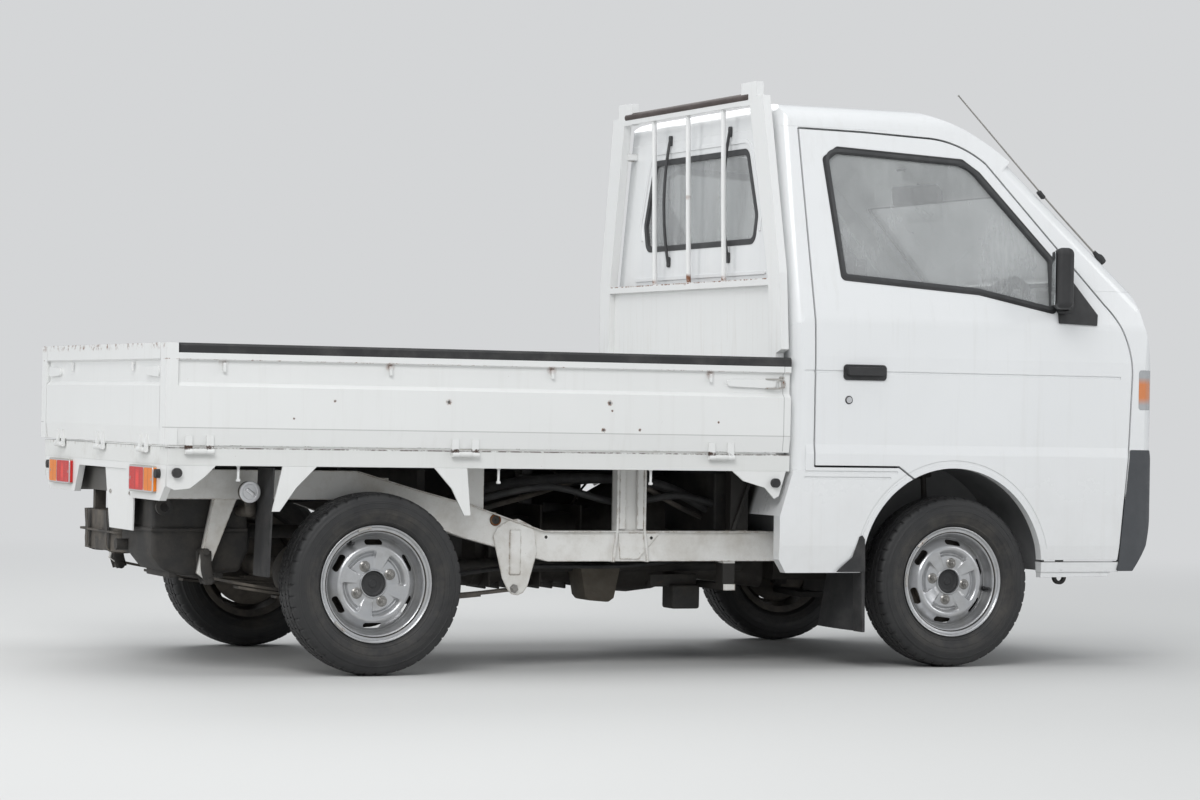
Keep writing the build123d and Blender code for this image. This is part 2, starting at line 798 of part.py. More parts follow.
# Rear lamp panel under the tail sill, with the blank plate panel
lamp_panel_x = deck_rear_x
sill_bottom_z = deck_top_z - sill_height
plate_y = -192.0
plate_z = 515.0
plate_thickness = 5.0
plate_hole_spacing = 210.0
plate_hole_radius = 3.5
with BuildPart() as rear_lamp_panel:
    with BuildSketch(Plane.YZ.offset(lamp_panel_x)):
        with BuildLine():
            Polyline(
                (0, sill_bottom_z),
                (sill_y - 6, sill_bottom_z),
                (sill_y - 20, 545),
                (613, 503),
                (317, 503),
                (265, 585),
                (0, 585),
            )
            mirror(about=Plane.YZ)
        make_face()
    extrude(amount=20)
    with BuildSketch(Plane.YZ.offset(lamp_panel_x + 4)):
        with BuildLine():
            Polyline((-21, 590), (-335, 590), (-326, 407), (-77, 407), close=True)
        make_face()
        with Locations((plate_y, plate_z)):
            with GridLocations(plate_hole_spacing, 0, 2, 1):
                Circle(plate_hole_radius, mode=Mode.SUBTRACT)
    extrude(amount=plate_thickness)
keep(rear_lamp_panel, "rear_lamp_panel")

with BuildPart() as tail_lamps:
    for side in (-1, 1):
        with BuildSketch(Plane.YZ.offset(lamp_panel_x - seat_gap)):
            with Locations((side * 460, 562)):
                RectangleRounded(243, 77, 10)
        extrude(amount=-12)
keep(tail_lamps, "tail_lamps")

# Rubber stops that the open gates rest on
with BuildPart() as gate_stops:
    for side in (-1, 1):
        with BuildSketch(Plane.YZ.offset(lamp_panel_x)):
            with Locations((side * 610, 580)):
                Circle(13)
        extrude(amount=-14)
        for stop_x, stop_z in ((gate_face_x + 38, 584), (gate_front_x - 45, 570)):
            with BuildSketch(Plane.XZ.offset(-side * sill_y)):
                with Locations((stop_x, stop_z)):
                    Circle(14)
            extrude(amount=-side * 14)
keep(gate_stops, "gate_stops")

# Skirts below the side sills: tail corners, wheel arch flaps and front brackets
skirt_thickness = 6.0
SKIRTS = [
    # start X, then the outline in X from there and Z
    (deck_rear_x, [(0, sill_bottom_z), (0, 545), (22, 535), (67, 540), (112, 575), (142, sill_bottom_z)]),
    (rear_axle_x, [(-302, sill_bottom_z), (-332, 476), (-309, 476), (-260, 545), (-200, sill_bottom_z)]),
    (rear_axle_x, [(160, sill_bottom_z), (215, 545), (255, 467), (275, 467), (262, sill_bottom_z)]),
    (
        bed_front_x,
        [(-192, sill_bottom_z), (-154, 575), (-82, 555), (-50, 522), (-34, 530), (-12, sill_bottom_z)],
    ),
]
with BuildPart() as bed_skirts:
    for side in (-1, 1):
        for start_x, outline in SKIRTS:
            with BuildSketch(Plane.XZ.offset(-side * (sill_y - skirt_thickness))):
                with BuildLine():
                    Polyline(*[(start_x + ahead, up) for ahead, up in outline], close=True)
                make_face()
            extrude(amount=-side * skirt_thickness)
keep(bed_skirts, "bed_skirts")

# Guard frame behind the cab: posts, top rail, round bars, lower panel, cap blocks and lugs
guard_lean = 0.022
guard_depth = 26.0
guard_foot_x = bed_front_x - 30.5
guard_base = Plane(origin=(guard_foot_x, 0, deck_top_z), x_dir=(0, 1, 0), z_dir=(1, 0, guard_lean))
guard_height = roof_top_z - 5 - deck_top_z
guard_sill = 528.0
guard_shoulder = 309.0
guard_tube_radius = 8.0
guard_tube_y = 262.0
with BuildPart() as guard_frame:
    for side in (-1, 1):
        with BuildSketch(guard_base):
            with BuildLine():
                Polyline(
                    (side * (half_width - 42.5), 0),
                    (side * (half_width - 42.5), guard_shoulder),
                    (side * (half_width - 6.5), guard_shoulder + 11),
                    (side * (half_width - 17.5), guard_sill + 25),
                    (side * (cant_half_width - 7), guard_height),
                    (side * (cant_half_width - 104), guard_height),
                    (side * (half_width - 97.5), guard_sill + 11),
                    (side * (half_width - 85.5), guard_shoulder),
                    (side * (half_width - 85.5), 0),
                    close=True,
                )
            make_face()
            with Locations((side * (cant_half_width - 104), guard_height + 10)):
                Rectangle(107, 72)
        extrude(amount=guard_depth)
        with BuildSketch(Plane.YZ.offset(guard_foot_x)):
            with Locations((side * (cant_half_width - 67), cant_z - 30)):
                Rectangle(25, 20)
        extrude(amount=cab_rear_x - seat_gap - guard_foot_x)
    for tube_y in (-guard_tube_y, 0, guard_tube_y):
        with BuildSketch(Plane.XY.offset(deck_top_z + guard_sill)):
            with Locations((guard_foot_x + guard_depth / 2 - guard_lean * guard_sill, tube_y)):
                Circle(guard_tube_radius)
        extrude(amount=guard_height - guard_sill, dir=(-guard_lean, 0, 1))
    with BuildSketch(guard_base):
        with Locations((0, guard_height - 12)):
            Rectangle(2 * (cant_half_width - 90), 24)
        with Locations((0, guard_sill)):
            Rectangle(2 * (half_width - 80), 22)
    extrude(amount=guard_depth)
    with BuildSketch(guard_base.offset(guard_depth - 6)):
        with Locations((0, guard_sill / 2)):
            Rectangle(2 * (half_width - 80), guard_sill)
    extrude(amount=4)
keep(guard_frame, "guard_frame")

# Cab envelope: side silhouette, cross section and plan, each cut to the others
screen_slope = screen_run / screen_rise
screen_top_x = nose_x - cowl_setback - screen_run
screen_top_z = cowl_z + screen_rise
side_slope = (tumblehome - shoulder_inset) / (cant_z - shoulder_z)
toe_depth = 40.0
nose_front_x = nose_x - 11
roof_front_x = nose_x - 847.5
roof_front_z = cant_z + 80
roof_rear_z = cant_z + 76
NOSE_BENDS = [
    # X and Z of the front's outline, from the cowl down to the sill
    (nose_x - 40, 1003),
    (nose_x - 13, 880),
    (nose_front_x, 700),
    (nose_x - 36, 560),
]
with BuildSketch() as silhouette:
    with BuildLine():
        Polyline(
            (screen_top_x, screen_top_z),
            (nose_x - cowl_setback, cowl_z),
            *NOSE_BENDS,
            (nose_x - 60, cab_bottom_z),
            (cab_rear_x - toe_depth + 25, cab_bottom_z),
            (cab_rear_x - toe_depth, cab_bottom_z + 40),
            (cab_rear_x - toe_depth, 470),
            (cab_rear_x, 600),
            (cab_rear_x, roof_rear_z),
        )
        brow = TangentArc(
            (screen_top_x, screen_top_z), (roof_front_x, roof_front_z), tangent=(-screen_slope, 1)
        )
        TangentArc((roof_front_x, roof_front_z), (cab_rear_x, roof_rear_z), tangent=brow % 1)
    make_face()
    for bend in NOSE_BENDS:
        fillet(silhouette.vertices().sort_by_distance(bend)[0], 60)
    fillet(silhouette.vertices().sort_by_distance((cab_rear_x, roof_rear_z))[0], rear_corner)
cant_top = (cant_half_width - side_slope * eaves_rise, cant_z + eaves_rise)
with BuildSketch() as cross_section:
    with BuildLine():
        Polyline(
            (0, cab_bottom_z - 10),
            (half_width - 9, cab_bottom_z - 10),
            (half_width, cab_bottom_z + 83),
            (half_width, step_low_z),
            (half_width - step_inset, step_high_z),
            (half_width - step_inset, belt_z),
            (half_width - shoulder_inset, shoulder_z),
            cant_top,
        )
        ThreePointArc(cant_top, (cant_top[0] / 2, roof_top_z - 8), (0, roof_top_z))
        mirror(about=Plane.YZ)
    make_face()
    for height, radius in ((cant_top[1], cant_corner), (shoulder_z, 2 * cant_corner)):
        fillet(cross_section.vertices().filter_by(lambda spot: abs(spot.Y - height) < 1), radius)


def cab_block(wall):
    """Solid inside the cab's outer form, set in by a wall thickness."""
    with BuildPart() as block:
        for plane, outline, reach in (
            (Plane.XZ, silhouette, half_width + 10),
            (Plane.YZ, cross_section, nose_x + 10),
        ):
            with BuildSketch(plane) as limit:
                add(outline.sketch)
                if wall:
                    offset(amount=-wall, kind=Kind.INTERSECTION, mode=Mode.REPLACE)
            if plane == Plane.XZ:
                extrude(limit.sketch, amount=reach, both=True)
            else:
                extrude(limit.sketch, amount=reach, both=True, mode=Mode.INTERSECT)
        with BuildSketch(Plane.XY) as plan:
            with BuildLine():
                corner = nose_corner - wall
                front = nose_front_x - wall
                edge = half_width - wall
                Polyline((0, 0), (0, edge), (front - corner, edge))
                TangentArc((front - corner, edge), (front, edge - corner), tangent=(1, 0))
                Line((front, edge - corner), (front, 0))
                mirror(about=Plane.XZ)
            make_face()
        extrude(plan.sketch, amount=2000, mode=Mode.INTERSECT)
        if wall:
            with BuildSketch(Plane.XY.offset(cab_bottom_z - 60)) as foot:
                with Locations(((cab_rear_x + nose_x - 60) / 2, 0)):
                    Rectangle(cab_length - 60 - 2 * wall, 2 * (half_width - wall) - 18)
            extrude(foot.sketch, amount=60 + 2 * wall)
    return block.part


def side_y(z):
    """Half width of the cab's leaning upper side at a height."""
    return half_width - shoulder_inset - side_slope * (z - shoulder_z)


edge_margin = 12.0
edge_bite = 0.15


def edge_prism(start, end, face_a, face_b, radius, run_out):
    """Prism along a straight edge whose removal rounds it to a radius between its two faces."""
    along = (Vector(*end) - Vector(*start)).normalized()
    inward = (-(Vector(*face_a).normalized() + Vector(*face_b).normalized())).normalized()
    half_angle = radians(90 - Vector(*face_a).get_angle(Vector(*face_b)) / 2)
    origin = Vector(*start) - along * run_out
    center = radius / sin(half_angle) - edge_bite
    low = (center - radius * sin(half_angle), -radius * cos(half_angle))
    high = (low[0], -low[1])
    lift = (edge_margin * sin(half_angle), edge_margin * cos(half_angle))
    with BuildPart() as prism:
        with BuildSketch(Plane(origin=origin, x_dir=inward, z_dir=along)):
            with BuildLine():
                ThreePointArc(low, (center - radius, 0), high)
                Polyline(
                    high,
                    (high[0] - lift[0], high[1] + lift[1]),
                    (-edge_margin / sin(half_angle), 0),
                    (low[0] - lift[0], low[1] - lift[1]),
                    low,
                )
            make_face()
        extrude(amount=(Vector(*end) - Vector(*start)).length + 2 * run_out)
    return prism.part


def rounded_cab():
    """The cab's outer form with its pillar and rear corner edges rounded."""
    body = cab_block(0)
    for side in (-1, 1):
        side_face = (0, side, side_slope)
        cowl = (nose_x - cowl_setback, side * side_y(cowl_z), cowl_z)
        head = (screen_top_x, side * side_y(screen_top_z), screen_top_z)
        body -= edge_prism(cowl, head, (screen_rise, 0, screen_run), side_face, pillar_radius, 60)
        shoulder = (cab_rear_x, side * side_y(shoulder_z), shoulder_z)
        eaves = (cab_rear_x, side * side_y(roof_rear_z), roof_rear_z)
        body -= edge_prism(shoulder, eaves, (-1, 0, 0), side_face, rear_corner, 10)
        foot = (cab_rear_x, side * (half_width - step_inset), 620)
        waist = (cab_rear_x, side * (half_width - step_inset), shoulder_z)
        body -= edge_prism(foot, waist, (-1, 0, 0), (0, side, 0), rear_corner, 10)
    return body


cab_outer = rounded_cab()
cab_inner = cab_block(cab_wall)

# Door outline, in X and Z
door_front_x = nose_x - door_front_setback
door_rear_x = cab_rear_x + door_rear_margin
door_toe_z = 335.0
with BuildSketch() as door_outline:
    with BuildLine():
        Polyline(
            (nose_x - 947.5, door_bottom_z),
            (door_rear_x, door_bottom_z),
            (door_rear_x, shoulder_z - 26),
            (door_rear_x - 15, cant_z - 2),
            (nose_x - 1026.5, cant_z - 5),
            (nose_x - 812.5, cant_z - 13),
        )
        ThreePointArc(
            (nose_x - 812.5, cant_z - 13), (nose_x - 692.5, cant_z - 35), (nose_x - 602.5, cant_z - 85)
        )
        Line((nose_x - 602.5, cant_z - 85), (nose_x - 207.5, shoulder_z + 68))
        ThreePointArc(
            (nose_x - 207.5, shoulder_z + 68),
            (door_front_x - 20, shoulder_z - 41),
            (door_front_x, shoulder_z - 170),
        )
        Polyline(
            (door_front_x, shoulder_z - 170),
            (door_front_x - 8, 700),
            (door_front_x - 42, door_toe_z),
            (arch_center_x + 280, door_toe_z),
            (arch_center_x + 200, 420),
            (arch_center_x - 100, 560),
            (nose_x - 947.5, door_bottom_z),
        )
    make_face()
with BuildSketch() as window_outline:
    with BuildLine():
        FilletPolyline(
            (door_rear_x + 58, cant_z - 88),
            (door_rear_x + 110, cant_z - 51),
            (nose_x - 684.5, cant_z - 71),
            (nose_x - 625.5, cant_z - 110),
            (nose_x - 377.5, shoulder_z + 212),
            (nose_x - 385.5, shoulder_z + 36),
            (nose_x - 661.5, shoulder_z + 91),
            (door_rear_x + 95, shoulder_z + 123),
            radius=18,
            close=True,
        )
    make_face()


def wall_slab(side, outward, thickness, low_z, high_z):
    """Thin slab that follows the sloping upper side of the cab."""
    low_y = half_width - shoulder_inset + outward - (low_z - shoulder_z) * side_slope
    high_y = half_width - shoulder_inset + outward - (high_z - shoulder_z) * side_slope
    with BuildPart() as slab:
        with BuildSketch(Plane.YZ.offset(cab_rear_x - 40)):
            with BuildLine():
                Polyline(
                    (side * low_y, low_z),
                    (side * high_y, high_z),
                    (side * (high_y - thickness), high_z),
                    (side * (low_y - thickness), low_z),
                    close=True,
                )
            make_face()
        extrude(amount=cab_length)
    return slab.part


def ring_between(outline, wide, narrow):
    """Band between two offsets of an outline."""
    with BuildSketch() as outer_form:
        add(outline.sketch)
        offset(amount=wide, mode=Mode.REPLACE)
    with BuildSketch() as inner_form:
        add(outline.sketch)
        offset(amount=narrow, mode=Mode.REPLACE)
    return outer_form.sketch - inner_form.sketch


# Shell with its wheel arches, rolled arch edges, belt line and the two creases of the lower quarter panel
groove_depth = 2.5
groove_height = 7.0
GROOVES = [
    # Z, rear X, front X
    (912.0, cab_rear_x + 38, nose_x - 153),
    (605.0, cab_rear_x + 44, nose_x - 952),
    (587.0, cab_rear_x + 40, nose_x - 976),
]
with BuildPart() as cab_shell:
    add(cab_outer)
    add(cab_inner, mode=Mode.SUBTRACT)
    with BuildSketch(Plane.XZ):
        with Locations((arch_center_x, arch_center_z)):
            Circle(arch_radius)
        with Locations((arch_center_x, cab_bottom_z - 20)):
            Rectangle(2 * arch_radius - 20, 60)
    extrude(amount=half_width + 10, both=True, mode=Mode.SUBTRACT)
    for side in (-1, 1):
        with BuildSketch(Plane.XZ.offset(-side * (half_width - 1.5))):
            with Locations((arch_center_x, arch_center_z)):
                Circle(arch_radius + 24)
                Circle(arch_radius + 16, mode=Mode.SUBTRACT)
        extrude(amount=-side * 20, mode=Mode.SUBTRACT)
        for groove_z, groove_rear_x, groove_front_x in GROOVES:
            inset = step_inset if groove_z > step_high_z else 0
            with BuildSketch(Plane.XZ.offset(-side * (half_width - inset - groove_depth))):
                with Locations(((groove_rear_x + groove_front_x) / 2, groove_z)):
                    SlotOverall(groove_front_x - groove_rear_x, groove_height)
            extrude(amount=-side * 20, mode=Mode.SUBTRACT)

# Doors: hollow-walled panel with its window opening, glass, and the rubber, handle and mirror
glass_thickness = 5.0
seal_width = 18.0
handle_x = nose_x - 1071.5
handle_z = 911.0
mirror_x = nose_x - 412.0
mirror_z = shoulder_z + 148
mirror_y = half_width + 62
sail_rear_x = nose_x - 381.5
window_rubber = ring_between(window_outline, -seat_gap, -seal_width)
for side_name, side in SIDES:
    with BuildPart() as door:
        add(cab_shell.part)
        with BuildSketch(Plane.XZ):
            add(door_outline.sketch)
            add(window_outline.sketch, mode=Mode.SUBTRACT)
        extrude(amount=-side * (half_width + 10), mode=Mode.INTERSECT)
    keep(door, f"door_{side_name}")
    with BuildPart() as door_glass:
        add(wall_slab(side, -10, glass_thickness, shoulder_z + 10, cant_z - 10))
        with BuildSketch(Plane.XZ):
            add(window_outline.sketch)
            offset(amount=-seal_width - seat_gap, mode=Mode.REPLACE)
        extrude(amount=half_width + 10, both=True, mode=Mode.INTERSECT)
    keep(door_glass, f"door_glass_{side_name}")
    mirror_head = fillet((Pos(mirror_x, side * mirror_y, mirror_z) * Box(56, 116, 190)).edges(), 20)
    with BuildPart() as sail:
        add(wall_slab(side, 6, 5.5, shoulder_z + 5, shoulder_z + 170))
        with BuildSketch(Plane.XZ):
            with BuildLine():
                Polyline(
                    (sail_rear_x, shoulder_z + 166),
                    (sail_rear_x + 44, shoulder_z + 166),
                    (sail_rear_x + 143, shoulder_z + 40),
                    (sail_rear_x + 137, shoulder_z + 6),
                    (sail_rear_x, shoulder_z + 10),
                    close=True,
                )
            make_face()
        extrude(amount=half_width + 60, both=True, mode=Mode.INTERSECT)
    with BuildPart() as door_trim:
        add(wall_slab(side, 1.5, 16, shoulder_z + 10, cant_z - 10))
        with BuildSketch(Plane.XZ):
            add(window_rubber)
        extrude(amount=half_width + 10, both=True, mode=Mode.INTERSECT)
        with BuildSketch(Plane.XZ.offset(-side * (half_width - step_inset + seat_gap))):
            with Locations((handle_x, handle_z)):
                RectangleRounded(148, 48, 12)
        extrude(amount=-side * 4)
        with BuildSketch(Plane.XZ.offset(-side * (half_width - step_inset + 4))):
            with Locations((handle_x, handle_z + 3)):
                RectangleRounded(132, 30, 10)
        extrude(amount=-side * 14, taper=12)
        add(sail.part)
        with BuildSketch(Plane.XZ.offset(-side * (half_width - 16))):
            with Locations((sail_rear_x + 14, shoulder_z + 70)):
                RectangleRounded(44, 60, 14)
        extrude(amount=-side * 44)
        with BuildSketch(Plane.XZ.offset(-side * (half_width + 14))):
            with Locations((sail_rear_x - 10, shoulder_z + 70)):
                RectangleRounded(60, 34, 12)
        extrude(amount=-side * 30)
        add(mirror_head)
    keep(door_trim, f"door_trim_{side_name}")

# Cab panels: each is the shell inside its own region of the side view, clear of the doors
with BuildSketch() as door_opening:
    add(door_outline.sketch)
    offset(amount=panel_gap, mode=Mode.REPLACE)
split_x = nose_x - 947.5
with BuildSketch() as back_region:
    with BuildLine():
        Polyline(
            (cab_rear_x - 132, 200),
            (cab_rear_x - 132, cant_z + 6),
            (split_x, cant_z + 6),
            (split_x, 700),
            (split_x + 100, 600),
            (split_x + 100, 200),
            close=True,
        )
    make_face()
with BuildSketch() as nose_region:
    with BuildLine():
        Polyline(
            (arch_center_x + 100, 200),
            (arch_center_x + 100, cowl_z - 120),
            (nose_x - 247.5, cowl_z - 12),
            (nose_x + 52.5, cowl_z - 12),
            (nose_x + 52.5, 200),
            close=True,
        )
    make_face()

# Windscreen plane, leaning back from the cowl to the roof
screen_plane = Plane(
    origin=(nose_x - cowl_setback - screen_run / 2, 0, cowl_z + screen_rise / 2),
    x_dir=(0, 1, 0),
    z_dir=(screen_rise, 0, screen_run),
)
with BuildSketch() as screen_outline:
    with BuildLine():
        screen_low_half = half_width - 117.5
        screen_high_half = cant_half_width - 64
        FilletPolyline(
            (-screen_low_half, -215),
            (screen_low_half, -215),
            (screen_high_half, 205),
            (-screen_high_half, 205),
            radius=45,
            close=True,
        )
    make_face()
rear_window_z = cant_z - 203
rear_window_half = cant_half_width - 144
with BuildSketch() as rear_window_outline:
    with BuildLine():
        FilletPolyline(
            (-rear_window_half + 20, rear_window_z - 150),
            (rear_window_half - 20, rear_window_z - 150),
            (rear_window_half, rear_window_z - 60),
            (rear_window_half - 75, rear_window_z + 152),
            (75 - rear_window_half, rear_window_z + 152),
            (-rear_window_half, rear_window_z - 60),
            radius=40,
            close=True,
        )
    make_face()

# Bumper profile from the side, and its plan
with BuildSketch() as bumper_side:
    with BuildLine():
        FilletPolyline(
            (nose_x - 116, bumper_top_z),
            (nose_x - 30, bumper_top_z),
            (nose_x, 620),
            (nose_x, 510),
            (nose_x - 43, 381),
            (nose_x - 100, 300),
            (nose_x - 157, 300),
            (nose_x - 150, door_toe_z),
            radius=6,
            close=True,
        )
    make_face()


def bumper_block(inset):
    """Solid inside the bumper's outer form, set in from its front and sides."""
    with BuildPart() as block:
        with BuildSketch(Plane.XY.offset(200)):
            with BuildLine():
                edge = half_width - 2 - inset
                front = nose_x - inset
                corner = bumper_corner - inset
                Polyline((nose_x - 300, 0), (nose_x - 300, edge), (front - corner, edge))
                TangentArc((front - corner, edge), (front, edge - corner), tangent=(1, 0))
                Line((front, edge - corner), (front, 0))
                mirror(about=Plane.XZ)
            make_face()
        extrude(amount=600)
        with BuildSketch(Plane.XZ):
            add(bumper_side.sketch)
            if inset:
                offset(amount=-inset, kind=Kind.INTERSECTION, mode=Mode.REPLACE)
                with Locations((nose_x - 130, 490)):
                    Rectangle(120, 500)
        extrude(amount=half_width + 10, both=True, mode=Mode.INTERSECT)
    return block.part


lamp_z = 875.0
lamp_height = 126.0
lamp_depth = 55.0
headlamp_y = 470.0
headlamp_width = 250.0
grille_pitch = 34.0
corner_lamp_rear_x = nose_x - 86
corner_lamp_inner_y = headlamp_y + headlamp_width / 2 + 8


def lamp_block(side, inset):
    """Box round one headlamp, set in on all edges."""
    with BuildPart() as block:
        with BuildSketch(Plane.YZ.offset(nose_x - lamp_depth)):
            with Locations((side * headlamp_y, lamp_z)):
                RectangleRounded(headlamp_width - 2 * inset, lamp_height - 2 * inset, 18)
        extrude(amount=lamp_depth + 20)
    return block.part


def corner_block(side, inset):
    """Box across the front corner where the indicator sits."""
    with BuildPart() as block:
        with BuildSketch(Plane.XZ.offset(-side * (corner_lamp_inner_y + inset))):
            with Locations((corner_lamp_rear_x + inset, lamp_z)):
                RectangleRounded(200, lamp_height - 2 * inset, 10, align=(Align.MIN, Align.CENTER))
        extrude(amount=-side * 120)
    return block.part


with BuildPart() as panels:
    add(cab_shell.part)
    with BuildSketch(Plane.XZ):
        add(door_opening.sketch)
    extrude(amount=half_width + 10, both=True, mode=Mode.SUBTRACT)
    with BuildSketch(Plane.YZ.offset(cab_rear_x - 132)):
        add(rear_window_outline.sketch)
    extrude(amount=250, mode=Mode.SUBTRACT)
    with BuildSketch(screen_plane):
        add(screen_outline.sketch)
    extrude(amount=70, both=True, mode=Mode.SUBTRACT)
    with BuildSketch(Plane.XZ):
        add(bumper_side.sketch)
        offset(amount=seat_gap, mode=Mode.REPLACE)
        with Locations((nose_x - 112, bumper_top_z + seat_gap)):
            Rectangle(200, 500, align=(Align.MIN, Align.MAX))
        with Locations((nose_x - 150 - seat_gap, 200)):
            Rectangle(300, 110, align=(Align.MIN, Align.MIN))
    extrude(amount=half_width + 10, both=True, mode=Mode.SUBTRACT)
    with BuildSketch(Plane.XZ):
        with Locations((cab_rear_x - 132, rail_top_z + 54)):
            Rectangle(1500, 300, align=(Align.MIN, Align.MAX))
    extrude(amount=half_width - cab_wall - 10, both=True, mode=Mode.SUBTRACT)

# Rear wall with a raised arch over the window and a bead across below it
bead_height = 4.0
bead_width = 12.0
window_arch = ring_between(rear_window_outline, 18 + bead_width, 18)
with BuildPart() as cab_back:
    add(panels.part)
    with BuildSketch(Plane.XZ):
        add(back_region.sketch)
    extrude(amount=half_width + 10, both=True, mode=Mode.INTERSECT)
    with BuildSketch(Plane.YZ.offset(cab_rear_x + 4)):
        add(window_arch)
        with Locations((0, rear_window_z - 110)):
            Rectangle(1200, 200, align=(Align.CENTER, Align.MAX), mode=Mode.SUBTRACT)
        with Locations((0, rear_window_z - 240)):
            SlotOverall(2 * rear_window_half + 120, bead_width)
    extrude(amount=-bead_height - 4)
keep(cab_back, "cab_back")

with BuildPart() as cab_nose:
    add(panels.part)
    with BuildSketch(Plane.XZ):
        add(nose_region.sketch)
    extrude(amount=half_width + 10, both=True, mode=Mode.INTERSECT)
    for side in (-1, 1):
        with BuildSketch(Plane.XZ.offset(-side * (half_width - cab_wall - 8))):
            with BuildLine():
                Polyline(
                    (arch_center_x + arch_radius + 2, cab_bottom_z - 17),
                    (nose_x - 185, cab_bottom_z - 14),
                    (nose_x - 165, cab_bottom_z + 20),
                    (arch_center_x + arch_radius + 2, cab_bottom_z + 20),
                    close=True,
                )
            make_face()
        extrude(amount=-side * (cab_wall - 4))
        add(lamp_block(side, 0), mode=Mode.SUBTRACT)
        add(corner_block(side, 0), mode=Mode.SUBTRACT)
    with BuildSketch(Plane.YZ.offset(nose_x - 60)):
        with GridLocations(0, grille_pitch, 1, 3):
            with Locations((0, lamp_z - 8)):
                SlotOverall(560, 16)
    extrude(amount=80, mode=Mode.SUBTRACT)
keep(cab_nose, "cab_nose")

with BuildPart() as cab_roof:
    add(panels.part)
    with BuildSketch(Plane.XZ):
        add(back_region.sketch)
        add(nose_region.sketch)
    extrude(amount=half_width + 10, both=True, mode=Mode.SUBTRACT)
keep(cab_roof, "cab_roof")

# Fixed glass: windscreen and rear window, each inside the rubber that fills its opening
screen_seat = screen_plane.offset(-14)
rear_seat = Plane.YZ.offset(cab_rear_x + 8)
with BuildPart() as windscreen:
    with BuildSketch(screen_seat):
        add(screen_outline.sketch)
        offset(amount=-seal_width - seat_gap, mode=Mode.REPLACE)
    extrude(amount=glass_thickness)
keep(windscreen, "windscreen")
with BuildPart() as rear_window:
    with BuildSketch(rear_seat):
        add(rear_window_outline.sketch)
        offset(amount=-seal_width - seat_gap, mode=Mode.REPLACE)
    extrude(amount=glass_thickness)
keep(rear_window, "rear_window")
SEALS = [
    # outline, plane of its inner edge, depth
    (screen_outline, screen_seat.offset(-4), 17),
    (rear_window_outline, rear_seat.offset(-10), 20),
]
SEAL_RINGS = [ring_between(outline, -seat_gap, -seal_width) for outline, seat, depth in SEALS]
with BuildPart() as glazing_seals:
    for (outline, seat, depth), seal_ring in zip(SEALS, SEAL_RINGS):
        with BuildSketch(seat):
            add(seal_ring)
        extrude(amount=depth)
keep(glazing_seals, "glazing_seals")

# Rods that guard the rear window: two thin bars bowed outward, bolted above and below it
rod_y = 225.0
rod_low_z = rear_window_z - 187
rod_high_z = rear_window_z + 211
rod_bow = 24.0
rod_radius = 5.0
with BuildPart() as window_guards:
    for side in (-1, 1):
        with BuildLine() as bow:
            ThreePointArc(
                (cab_rear_x - 6, side * rod_y, rod_low_z),
                (cab_rear_x - rod_bow, side * rod_y, (rod_low_z + rod_high_z) / 2),
                (cab_rear_x - 6, side * rod_y, rod_high_z),
            )
        with BuildSketch(Plane(origin=bow.wire() @ 0, z_dir=bow.wire() % 0)) as round_bar:
            Circle(rod_radius)
        sweep(round_bar.sketch, path=bow.wire())
        with BuildSketch(Plane.YZ.offset(cab_rear_x - seat_gap)) as feet:
            for foot_z in (rod_low_z, rod_high_z):
                with Locations((side * rod_y, foot_z)):
                    RectangleRounded(18, 34, 7)
        extrude(feet.sketch, amount=-7)
keep(window_guards, "window_guards")

# Front bumper: wraps round both corners, with an air slot and two stays behind it
with BuildPart() as front_bumper:
    add(bumper_block(0))
    add(bumper_block(bumper_wall), mode=Mode.SUBTRACT)
    with BuildSketch(Plane.YZ.offset(nose_x - 60)):
        with Locations((0, 560)):
            SlotOverall(700, 60)
    extrude(amount=80, mode=Mode.SUBTRACT)
    with BuildSketch(Plane.XY.offset(rail_top_z - 60)) as stays:
        for side in (-1, 1):
            with Locations((rail_front_x + seat_gap, side * (front_rail_outer_y - rail_width / 2))):
                Rectangle(nose_x - 40 - rail_front_x, rail_width - 10, align=(Align.MIN, Align.CENTER))
    extrude(stays.sketch, amount=50)
    add(bumper_block(0), mode=Mode.INTERSECT)
keep(front_bumper, "front_bumper")

# Lamps at the front: headlamps and corner indicators, cut to the nose's own form
for lamp_name, make_block in (("headlamps", lamp_block), ("front_indicators", corner_block)):
    with BuildPart() as lamps:
        for side in (-1, 1):
            add(make_block(side, seat_gap))
        add(cab_outer, mode=Mode.INTERSECT)
        if lamp_name == "front_indicators":
            add(cab_inner, mode=Mode.SUBTRACT)
    keep(lamps, lamp_name)

